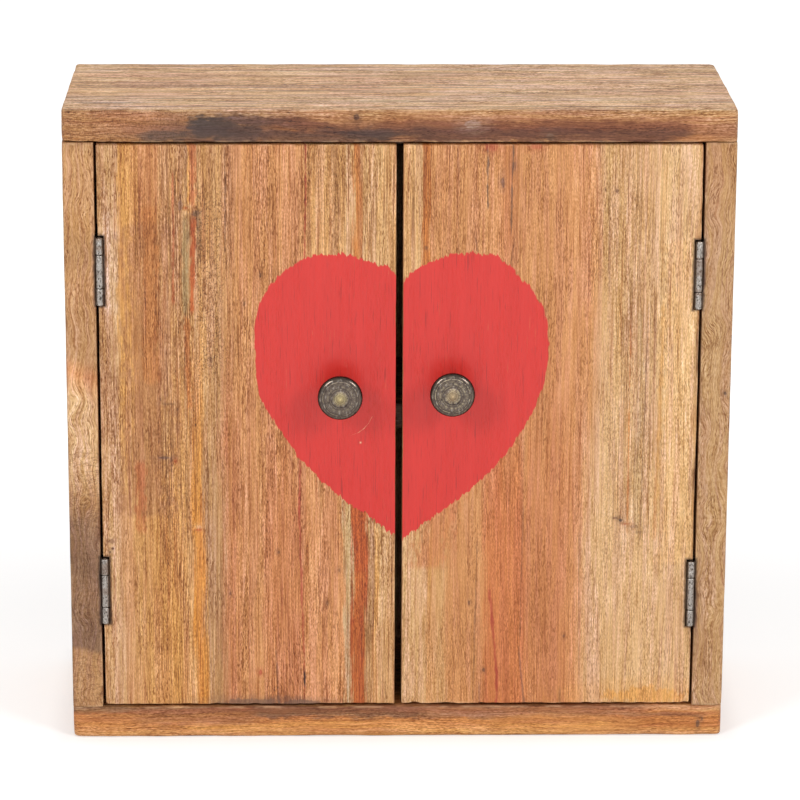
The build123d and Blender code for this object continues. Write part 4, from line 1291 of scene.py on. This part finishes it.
def shape_leaf(name, side, height, on_frame, seed):
    """One leaf of a butt hinge: the plate, its knuckles and its screw seats."""
    s = -1 if side == "left" else 1
    toward = s if on_frame else -s
    x, y = s * HINGE_AXIS[0], HINGE_AXIS[1]
    low, high = height - LEAF_HALF_LENGTH, height + LEAF_HALF_LENGTH
    ends = [(low, low + TURN_LENGTH), (high - TURN_LENGTH, high)]
    middle = [(low + TURN_LENGTH + TURN_GAP, high - TURN_LENGTH - TURN_GAP)]
    turns, free = (ends, middle) if on_frame else (middle, ends)
    inner, outer = x + toward * (LEAF_FACE - LEAF_THICKNESS), x + toward * LEAF_FACE
    leaf = saw_block(name, (min(inner, outer), y, low), (max(inner, outer), y + LEAF_WIDTH, high))
    round_over(leaf, level_at(y + LEAF_WIDTH), 1.0, 4)
    for start, end in free:
        drill_out(leaf, upright_rod(
            "clearance", x, y, start - TURN_GAP, end + TURN_GAP, CLEARANCE_RADIUS
        ))
    for number, (start, end) in enumerate(turns):
        combine(leaf, roll_knuckle(x, start, end, seed + number), "UNION")
    drill_out(leaf, upright_rod("bore", x, y, low - 1, high + 1, BORE_RADIUS, 32))
    for offset in SCREW_OFFSETS:
        clear_selection()
        bpy.ops.mesh.primitive_cone_add(
            vertices=32, radius1=2.70 * MM, radius2=1.40 * MM, depth=1.30 * MM,
            location=((inner + outer) / 2 * MM, (y + SCREW_INSET) * MM, (height + offset) * MM),
            rotation=(0, radians(90 * toward), 0),
        )
        drill_out(leaf, settle("countersink"))
    smooth(leaf, 35)
    return leaf


# turned knobs
KNOB_STEPS = [  # radius and height above the door, from the foot to the boss
    (8.0, 0.0), (8.05, 0.6), (7.9, 1.2), (7.4, 1.6), (6.6, 1.8), (6.0, 2.2), (5.3, 3.4),
    (4.8, 5.2), (4.6, 7.2), (4.7, 9.0), (5.3, 10.8), (6.4, 12.5), (8.0, 13.9), (9.4, 14.6),
    (11.2, 15.2), (12.4, 16.2), (12.9, 17.2), (13.0, 17.8), (12.92, 18.4), (12.6, 19.2),
    (12.0, 19.8), (11.3, 20.2), (10.6, 20.45), (9.9, 20.60), (9.2, 20.68), (8.2, 20.70),
    (7.0, 20.70), (6.0, 20.73), (5.0, 20.80), (4.2, 20.90), (3.5, 21.03), (2.9, 21.18),
    (2.3, 21.38), (1.8, 21.58), (1.3, 21.77), (0.9, 21.90), (0.4, 22.0),
]
KNOB_PLACES = {"left": (-34.3, 214.1), "right": (30.3, 215.8)}


def turn_knob(name, centre):
    """A knob turned from a disc, drawn out and narrowed step by step."""
    clear_selection()
    x, z = centre[0] * MM, centre[1] * MM
    bpy.ops.mesh.primitive_circle_add(
        vertices=72, radius=KNOB_STEPS[0][0] * MM, fill_type="NGON",
        location=(x, DOOR_FRONT * MM, z), rotation=(radians(90), 0, 0),
    )
    knob = settle(name)
    bpy.ops.object.mode_set(mode="EDIT")
    bpy.ops.mesh.select_all(action="SELECT")
    for (radius, height), (next_radius, next_height) in zip(KNOB_STEPS, KNOB_STEPS[1:]):
        bpy.ops.mesh.extrude_region_move(
            TRANSFORM_OT_translate={"value": (0, (height - next_height) * MM, 0)}
        )
        share = next_radius / radius
        bpy.ops.transform.resize(
            value=(share, 1, share), center_override=(x, (DOOR_FRONT - next_height) * MM, z)
        )
    bpy.ops.mesh.select_all(action="SELECT")
    bpy.ops.mesh.remove_doubles(threshold=1e-6)
    bpy.ops.mesh.normals_make_consistent(inside=False)
    bpy.ops.object.mode_set(mode="OBJECT")
    smooth(knob, 40)
    return knob


# making it all
top, top_corners = shape_end_board(
    "top_board", 3.2, 1.1, 0.7, 3,
    dents=[((-188, -70, 360), 9, 1.0), ((-176, -70, 360), 7, 0.8), ((-165, -70, 360), 6, 0.5)],
)
bottom, bottom_corners = shape_end_board("bottom_board", 3.2, 1.1, 0.7, 11)
side_left, side_left_corners = shape_side_board("left", 5)
side_right, side_right_corners = shape_side_board("right", 8)
shelf, shelf_corners = shape_shelf()
door_left, door_left_corners = shape_door(
    "left", 13, [((-172.8, -69.6, 307.5), 4.0, 1.2), ((-172.8, -69.6, 112.8), 3.0, 0.9)]
)
door_right, door_right_corners = shape_door(
    "right", 17, [((2.2, -69.6, 257), 3.0, 0.7), ((10, -69.6, 20.3), 6.0, 0.7),
                  ((28, -69.6, 20.3), 8.0, 0.5)]
)

top_wood = make_plain_wood(
    "top_board_wood",
    [(360, "board"), (362.0, "board"), (364.5, "dusk"), (370, "dusk"), (373.5, "board"),
     (378, "gold")],
    4, top_corners, along_x=True, grain=(1.15, 1.0, 1.0, 4.0),
    flecks=[(-195, -118, 330, 410, 0.6), (-100, 20, 330, 366, 0.4)],
    behind=(-60, [(-70, "board"), (-20, "dusk"), (30, "board"), (70, "gold")]),
    lines=[
        (367.6, -8, 366.4, 57, 8.8, "wine", 0.95), (366.4, 57, 367.4, 114, 8.4, "wine", 1.0),
        (367.4, 114, 366.8, 160, 8.4, "wine", 0.9), (372.5, -96, 371.0, -58, 4.6, "plum", 0.8),
        (371.0, -58, 364.5, -10, 3.6, "wine", 0.8), (363.4, -118, 363.4, -4, 5.0, "burnt", 0.7),
        (362.2, -190, 362.2, 176, 2.0, "brown", 0.6), (373.0, -70, 363.5, -15, 0.9, "wine", 0.85),
        (368.0, -66, 363.0, -22, 1.4, "orange", 0.5),
        (374.5, -170, 372.5, -124, 6.5, "russet", 0.5),
        (368.0, -172, 367.5, -132, 4.5, "russet", 0.35),
        (362.6, 14, 362.8, 150, 3.6, "wine", 0.8), (372.5, -4, 371.5, 168, 6.0, "russet", 0.35),
        (376.0, -6, 376.0, 110, 4.5, "dusk", 0.5), (371.5, -70, 370.5, 0, 6.0, "russet", 0.4),
        (372.5, -120, 370.5, -92, 0.8, "brown", 0.7),
        (375.0, -194, 367.0, -180, 9.0, "board", 0.55), (365.0, 18, 365.5, 46, 5.0, "wine", 0.5),
    ],
    knots=[
        (369.0, -108, 8.0, 17, "night", 1.0), (365.4, -92, 6.5, 20, "night", 0.8),
        (363.5, -136, 5.0, 18, "ink", 0.8), (363.6, -46, 5.0, 46, "burnt", 0.75),
        (373.0, -78, 3.6, 18, "burnt", 0.6), (364.6, -18, 4.6, 20, "night", 0.65),
        (374.5, -24.7, 2.1, 2.1, "burnt", 0.9), (364.0, -142, 2.2, 2.4, "ink", 0.7),
        (370.5, 41, 3.0, 6.0, "haze", 0.55), (363.0, 85, 2.8, 2.8, "smoke", 0.6),
        (367.0, -170, 5.0, 16, "board", 0.6),
    ],
    upper=(
        [
            (-70, "pale board"), (-58, "oiled board"), (-46, "faded board"), (-34, "pale board"),
            (-26, "oiled board"), (-14, "oiled board"), (-10, "shaded board"),
            (-3, "oiled board"), (3, "shaded board"), (20, "oiled board"), (36, "oiled board"),
            (48, "faded board"), (70, "pale board"),
        ],
        [
            (1.4, -186, 0.9, 190, 1.9, "umber", 0.6),
            (-51, 40, -51, 112, 9.0, "shaded board", 0.45),
            (55, -160, 55, -60, 15.0, "shaded board", 0.5),
            (-4.6, -186, -4.8, 60, 1.9, "umber", 0.9),
            (-16.5, -150, -16.5, 30, 1.5, "umber", 0.5),
            (-43, -172, -43, -110, 2.0, "umber", 0.85), (-43, -110, -41, 60, 1.6, "umber", 0.45),
            (-61.5, -165, -60, -80, 2.2, "umber", 0.9), (-60, 0, -61.5, 120, 2.0, "umber", 0.7),
            (6.5, -60, 6.5, 190, 1.5, "brown", 0.7), (50, -178, 52, -130, 2.4, "umber", 0.7),
            (60, -150, 58, 20, 1.6, "umber", 0.5), (-28, -120, -27, 190, 1.4, "umber", 0.45),
            (22, -100, 24, 190, 2.0, "brown", 0.25), (38, -60, 40, 190, 1.8, "brown", 0.25),
        ],
        [
            (10, 110, 50, 105, "faded board", 0.45), (-58, 120, 5, 60, "brown", 0.4),
            (44, 152, 8, 22, "brown", 0.4), (24, 152, 3, 16, "brown", 0.5),
            (-50, -165, 10, 22, "haze", 0.5),
        ],
        [
            (-19, 26, -20, 110, 9.0, "pale board", 0.45),
            (-31, -112, -34, -48, 12.0, "pale board", 0.3),
        ],
    ),
)
bottom_wood = make_plain_wood(
    "bottom_board_wood",
    [(0, "honey"), (6, "rust"), (12, "ginger"), (16.5, "brown"), (19, "tan")],
    6, bottom_corners, along_x=True, grain=(1.0, 0.9, 1.0, 4.0),
    behind=(-60, [(-70, "rust"), (-20, "brown"), (30, "rust"), (70, "honey")]),
    lines=[
        (19.0, 96, 16.6, 190, 1.6, "pale honey", 0.9), (16.2, 60, 13.2, 176, 2.2, "umber", 0.6),
        (18.6, 30, 18.4, 140, 2.2, "burnt", 0.6), (13.0, -150, 12.0, -90, 8.0, "dusk", 0.65),
        (17.5, -190, 17.2, -80, 2.2, "grey tan", 0.8), (14.5, -190, 17.5, -90, 1.2, "fox", 0.55),
        # the brown, smoke, umber and dusk lines 14 to 17 mm up, along the top of the front just
        # under the doors, are partly the board's own figure and partly painted shade
        (15.5, -150, 15.0, -64, 2.0, "brown", 0.8), (15.6, -80, 15.4, 60, 5.4, "smoke", 0.75),
        (16.8, -190, 17.0, 110, 3.6, "umber", 0.7), (14.5, 20, 15.5, 140, 5.0, "dusk", 0.7),
        (11.0, 60, 9.0, 170, 4.0, "brown", 0.4), (6, -120, 8, 20, 2.6, "golden", 0.45),
        (5, 20, 7, 120, 2.6, "golden", 0.4), (8.0, 150, 8.0, 190, 5.0, "orange", 0.5),
        (17.4, -150, 17.6, 176, 4.5, "fox", 0.18),
    ],
    knots=[
        (7.5, 178.5, 3.4, 1.2, "ink", 0.75), (10.5, 181, 1.4, 0.9, "ink", 0.7),
        (13, -170, 2.4, 20, "brown", 0.6),
    ],
)
side_left_wood = make_plain_wood(
    "side_left_wood",
    [(19, "grey tan"), (54, "grey tan"), (57, "dark wood"), (66, "dark wood"),
     (90, "shaded wood"), (108, "dark wood"), (132, "shaded wood"), (148, "grey tan"),
     (166, "pale cream"), (208, "pale cream"), (226, "pink salmon"), (234, "grey tan"),
     (250, "grey tan"), (278, "tan"), (296, "grey tan"), (314, "tan"), (352, "tan"),
     (358, "grey tan")],
    9, side_left_corners, by_height=(0.3, 56.0), grain=(0.8, 1.0, 0.8, 14.0), hinge_side="left",
    squiggles=[(19, 54, 0.55), (128, 178, 0.6), (60, 128, 0.35)],
    behind=(-54, [(-70, "tan"), (-35, "pale honey"), (0, "tan"), (35, "cream"), (70, "tan")]),
)
side_right_wood = make_plain_wood(
    "side_right_wood",
    [(19, "dull tan"), (150, "dull tan"), (220, "dull tan"), (300, "dull tan"), (345, "grey tan"),
     (360, "grey tan")],
    12, side_right_corners, by_height=(0.0, 0.0), grain=(0.8, 1.0, 0.8, 14.0), hinge_side="right",
    knots=[
        (189, 211.6, 1.3, 1.3, "ink", 0.8), (174.8, 292, 1.4, 24, "umber", 0.8),
        (175.4, 80, 1.8, 17, "umber", 0.8), (174.6, 58, 1.6, 9, "umber", 0.7),
    ],
    behind=(-54, [(-70, "tan"), (-30, "cream"), (10, "tan"), (70, "dull tan")]),
)
# painted shade: the shelf's front is dark umber and smoke, as only its edge shows in the shaded gap
# between the doors; behind it the wood is tan and honey
shelf_wood = make_plain_wood(
    "shelf_wood", [(184, "umber"), (192, "smoke"), (201, "umber")], 15, shelf_corners,
    along_x=True, wear=(2.5, 0.2, 0.8),
    behind=(shelf_corners[0][1] + 11, [(-60, "tan"), (0, "honey"), (70, "tan")]),
)
back_wood = make_plain_wood(
    "back_panel_wood", [(-180, "cream"), (-40, "pale honey"), (60, "cream"), (180, "tan")], 18,
    node_corners("back_panel"), grain=(0.6, 0.6, 0.8, 0.0), wear=(1.0, 0.2, 0.3),
)
dowel_wood = make_plain_wood(
    "dowel_wood", [(-190, "pale cream"), (190, "pale cream")], 20, node_corners("dowels"),
    grain=(0.5, 0.4, 0.4, 0.0), wear=(0.5, 0.1, 0.1),
)
doors = {
    "left": (door_left, make_door_wood("left", 2.0, door_left_corners)),
    "right": (door_right, make_door_wood("right", 7.0, door_right_corners)),
}
hinge_iron = make_metal(
    "hinge_iron", stain(152, 145, 138), stain(68, 59, 54), stain(204, 199, 193), 0.9, 0.42, 0.10,
    fine=(2.4, 2.4, 1.8), grime=True,
)
plated_steel = make_metal(
    "plated_steel", stain(178, 176, 170), stain(128, 122, 112), stain(206, 205, 200), 0.4, 0.35,
    0.02,
)
screw_steel = make_metal(
    "screw_steel", stain(136, 132, 124), stain(84, 78, 70), stain(176, 172, 164), 0.5, 0.40,
    0.02,
)
catch_plastic = make_moulding("catch_plastic", stain(122, 84, 56))
magnet_black = make_metal(
    "magnet_black", stain(46, 45, 46), stain(26, 25, 26), stain(70, 68, 68), 0.5, 0.6, 0.03, 0.2
)

for board, wood, node_name in (
    (top, top_wood, "top_board"), (bottom, bottom_wood, "bottom_board"),
    (side_left, side_left_wood, "side_board_left"),
    (side_right, side_right_wood, "side_board_right"), (shelf, shelf_wood, "shelf"),
):
    seat(board, "carcass", "carcass_wood", wood, node_name)
for finish, node_names in (
    (back_wood, ["back_panel"]), (dowel_wood, ["dowels"]), (catch_plastic, ["catch_housing"]),
    (magnet_black, ["catch_magnets"]), (plated_steel, ["catch_pole_plates"]),
    (screw_steel, ["catch_screws", "hanger_screws"]),
):
    for node_name in node_names:
        dress(node_name, finish)

first_knob = None
for side, (door, wood) in doors.items():
    body = f"{side}_door"
    seat(door, body, "door_wood", wood, f"door_{side}")
    centre = KNOB_PLACES[side]
    if first_knob is None:
        knob = first_knob = turn_knob(f"knob_turned_{side}", centre)
        first_centre = centre
    else:
        knob = first_knob.copy()
        knob.data = first_knob.data.copy()
        knob.name = knob.data.name = f"knob_turned_{side}"
        bpy.context.scene.collection.objects.link(knob)
        knob.parent = None
        knob.matrix_world = Matrix.Identity(4)
        move = ((centre[0] - first_centre[0]) * MM, 0, (centre[1] - first_centre[1]) * MM)
        knob.data.transform(Matrix.Translation(move))
    seat(knob, body, "aged_brass", make_knob_brass(side, centre), f"knob_{side}")
    for number, height in enumerate(("low", "high")):
        z = HINGE_HEIGHTS[side][number]
        for part, leaf_body in (("hinge_frame_leaf", "carcass"), ("hinge_door_leaf", body)):
            node_name = f"{part}_{side}_{height}"
            on_frame = leaf_body == "carcass"
            leaf = shape_leaf(
                f"{node_name}_rolled", side, z, on_frame, 20 + 4 * number + (side == "left") * 9
            )
            seat(leaf, leaf_body, "iron", hinge_iron, node_name)
        dress(f"hinge_pin_{side}_{height}", hinge_iron)
    for part in ("hanger_plate", "knob_washer", "strike_plate"):
        dress(f"{part}_{side}", plated_steel)
    for part in ("hinge_frame_screws", "hinge_door_screws", "knob_screw", "strike_screws"):
        dress(f"{part}_{side}", screw_steel)


# studio
FLOOR_SIZE = 8.0
FLOOR_DROP = 0.0002  # metres below the cabinet's feet
CABINET_HALF_WIDTH, CABINET_HALF_DEPTH = 0.192, 0.07


def seen_plainly(tree):
    """1 for what the camera sees, directly, in metal or through glass, and 0 for light."""
    path = add(tree, "LightPath").outputs
    return most(tree, path["Is Camera Ray"], path["Is Glossy Ray"], path["Is Transmission Ray"])


def lay_floor():
    """A pale floor that looks white to the camera and keeps the cabinet's shadow, with a painted
    contact shadow close round its foot.
    """
    clear_selection()
    bpy.ops.mesh.primitive_plane_add(size=FLOOR_SIZE, location=(0, 0, -FLOOR_DROP))
    floor = bpy.context.object
    floor.name = "floor"
    material = bpy.data.materials.new("studio_floor")
    material.use_nodes = True
    tree = material.node_tree
    tree.nodes.remove(tree.nodes["Principled BSDF"])
    matt = add(tree, "BsdfDiffuse", Color=(0.85, 0.85, 0.85, 1))
    here = add(tree, "TexCoord").outputs["Object"]
    across, deep = (calc(tree, "ABSOLUTE", side) for side in split(tree, here)[:2])
    beside = minus(tree, across, CABINET_HALF_WIDTH)
    away = most(tree, beside, minus(tree, deep, CABINET_HALF_DEPTH))
    # painted contact shadow: the glow is lower within 20 mm of the cabinet, and white from half a
    # metre off
    near = rise(tree, away, 0.001, 0.020, -0.10, 0.0)
    far = rise(tree, away, 0.08, 0.5, 0.44, 0.66)
    glow_with_painted_shadow = product(tree, seen_plainly(tree), total(tree, near, far))
    glow = add(tree, "Emission", Color=WHITE, Strength=glow_with_painted_shadow)
    both = add(tree, "AddShader")
    tree.links.new(matt.outputs[0], both.inputs[0])
    tree.links.new(glow.outputs[0], both.inputs[1])
    tree.links.new(both.outputs[0], tree.nodes["Material Output"].inputs["Surface"])
    floor.data.materials.append(material)


def light_room(strength):
    world = bpy.data.worlds.new("studio_room")
    bpy.context.scene.world = world
    world.use_nodes = True
    tree = world.node_tree
    ground = tree.nodes["Background"]
    ground.inputs["Color"].default_value = WHITE
    shown = rise(tree, seen_plainly(tree), 0, 1, strength, 1.0, "LINEAR")
    feed(tree, ground.inputs["Strength"], shown)


def hang_softbox(name, place, target, size, power):
    lamp = bpy.data.lights.new(name, "AREA")
    lamp.shape, lamp.size, lamp.energy = "SQUARE", size, power
    holder = bpy.data.objects.new(name, lamp)
    bpy.context.scene.collection.objects.link(holder)
    holder.location = place
    aim = Vector(target) - Vector(place)
    holder.rotation_euler = aim.to_track_quat("-Z", "Y").to_euler()


def set_camera(place, around, above, roll, lens):
    """A camera at a place, turned by its bearing, its height angle and its roll in degrees."""
    a, e, r = radians(around), radians(above), radians(roll)
    back = Vector((sin(a) * cos(e), -cos(a) * cos(e), sin(e)))
    level = Vector((cos(a), sin(a), 0))
    up = back.cross(level)
    right = cos(r) * level + sin(r) * up
    up = -sin(r) * level + cos(r) * up
    data = bpy.data.cameras.new("camera")
    data.sensor_width, data.lens = 36, lens
    camera = bpy.data.objects.new("camera", data)
    bpy.context.scene.collection.objects.link(camera)
    axes = Matrix((right, up, back)).transposed().to_4x4()
    camera.matrix_world = Matrix.Translation(place) @ axes
    bpy.context.scene.camera = camera


lay_floor()
light_room(0.50)
for name, place, size, power in (
    ("softbox_left", (-1.25, -1.5, 1.25), 0.6, 14),
    ("softbox_right", (1.35, -1.4, 1.2), 0.6, 14),
    ("softbox_front", (0.1, -2.4, 0.3), 1.4, 7),
):
    hang_softbox(name, place, (0, 0, 0.2), size, power)
set_camera((-0.04420, -2.15188, 0.80118), around=-1.229, above=15.904, roll=0.249, lens=168.09)
bpy.context.scene.view_settings.view_transform = "Standard"
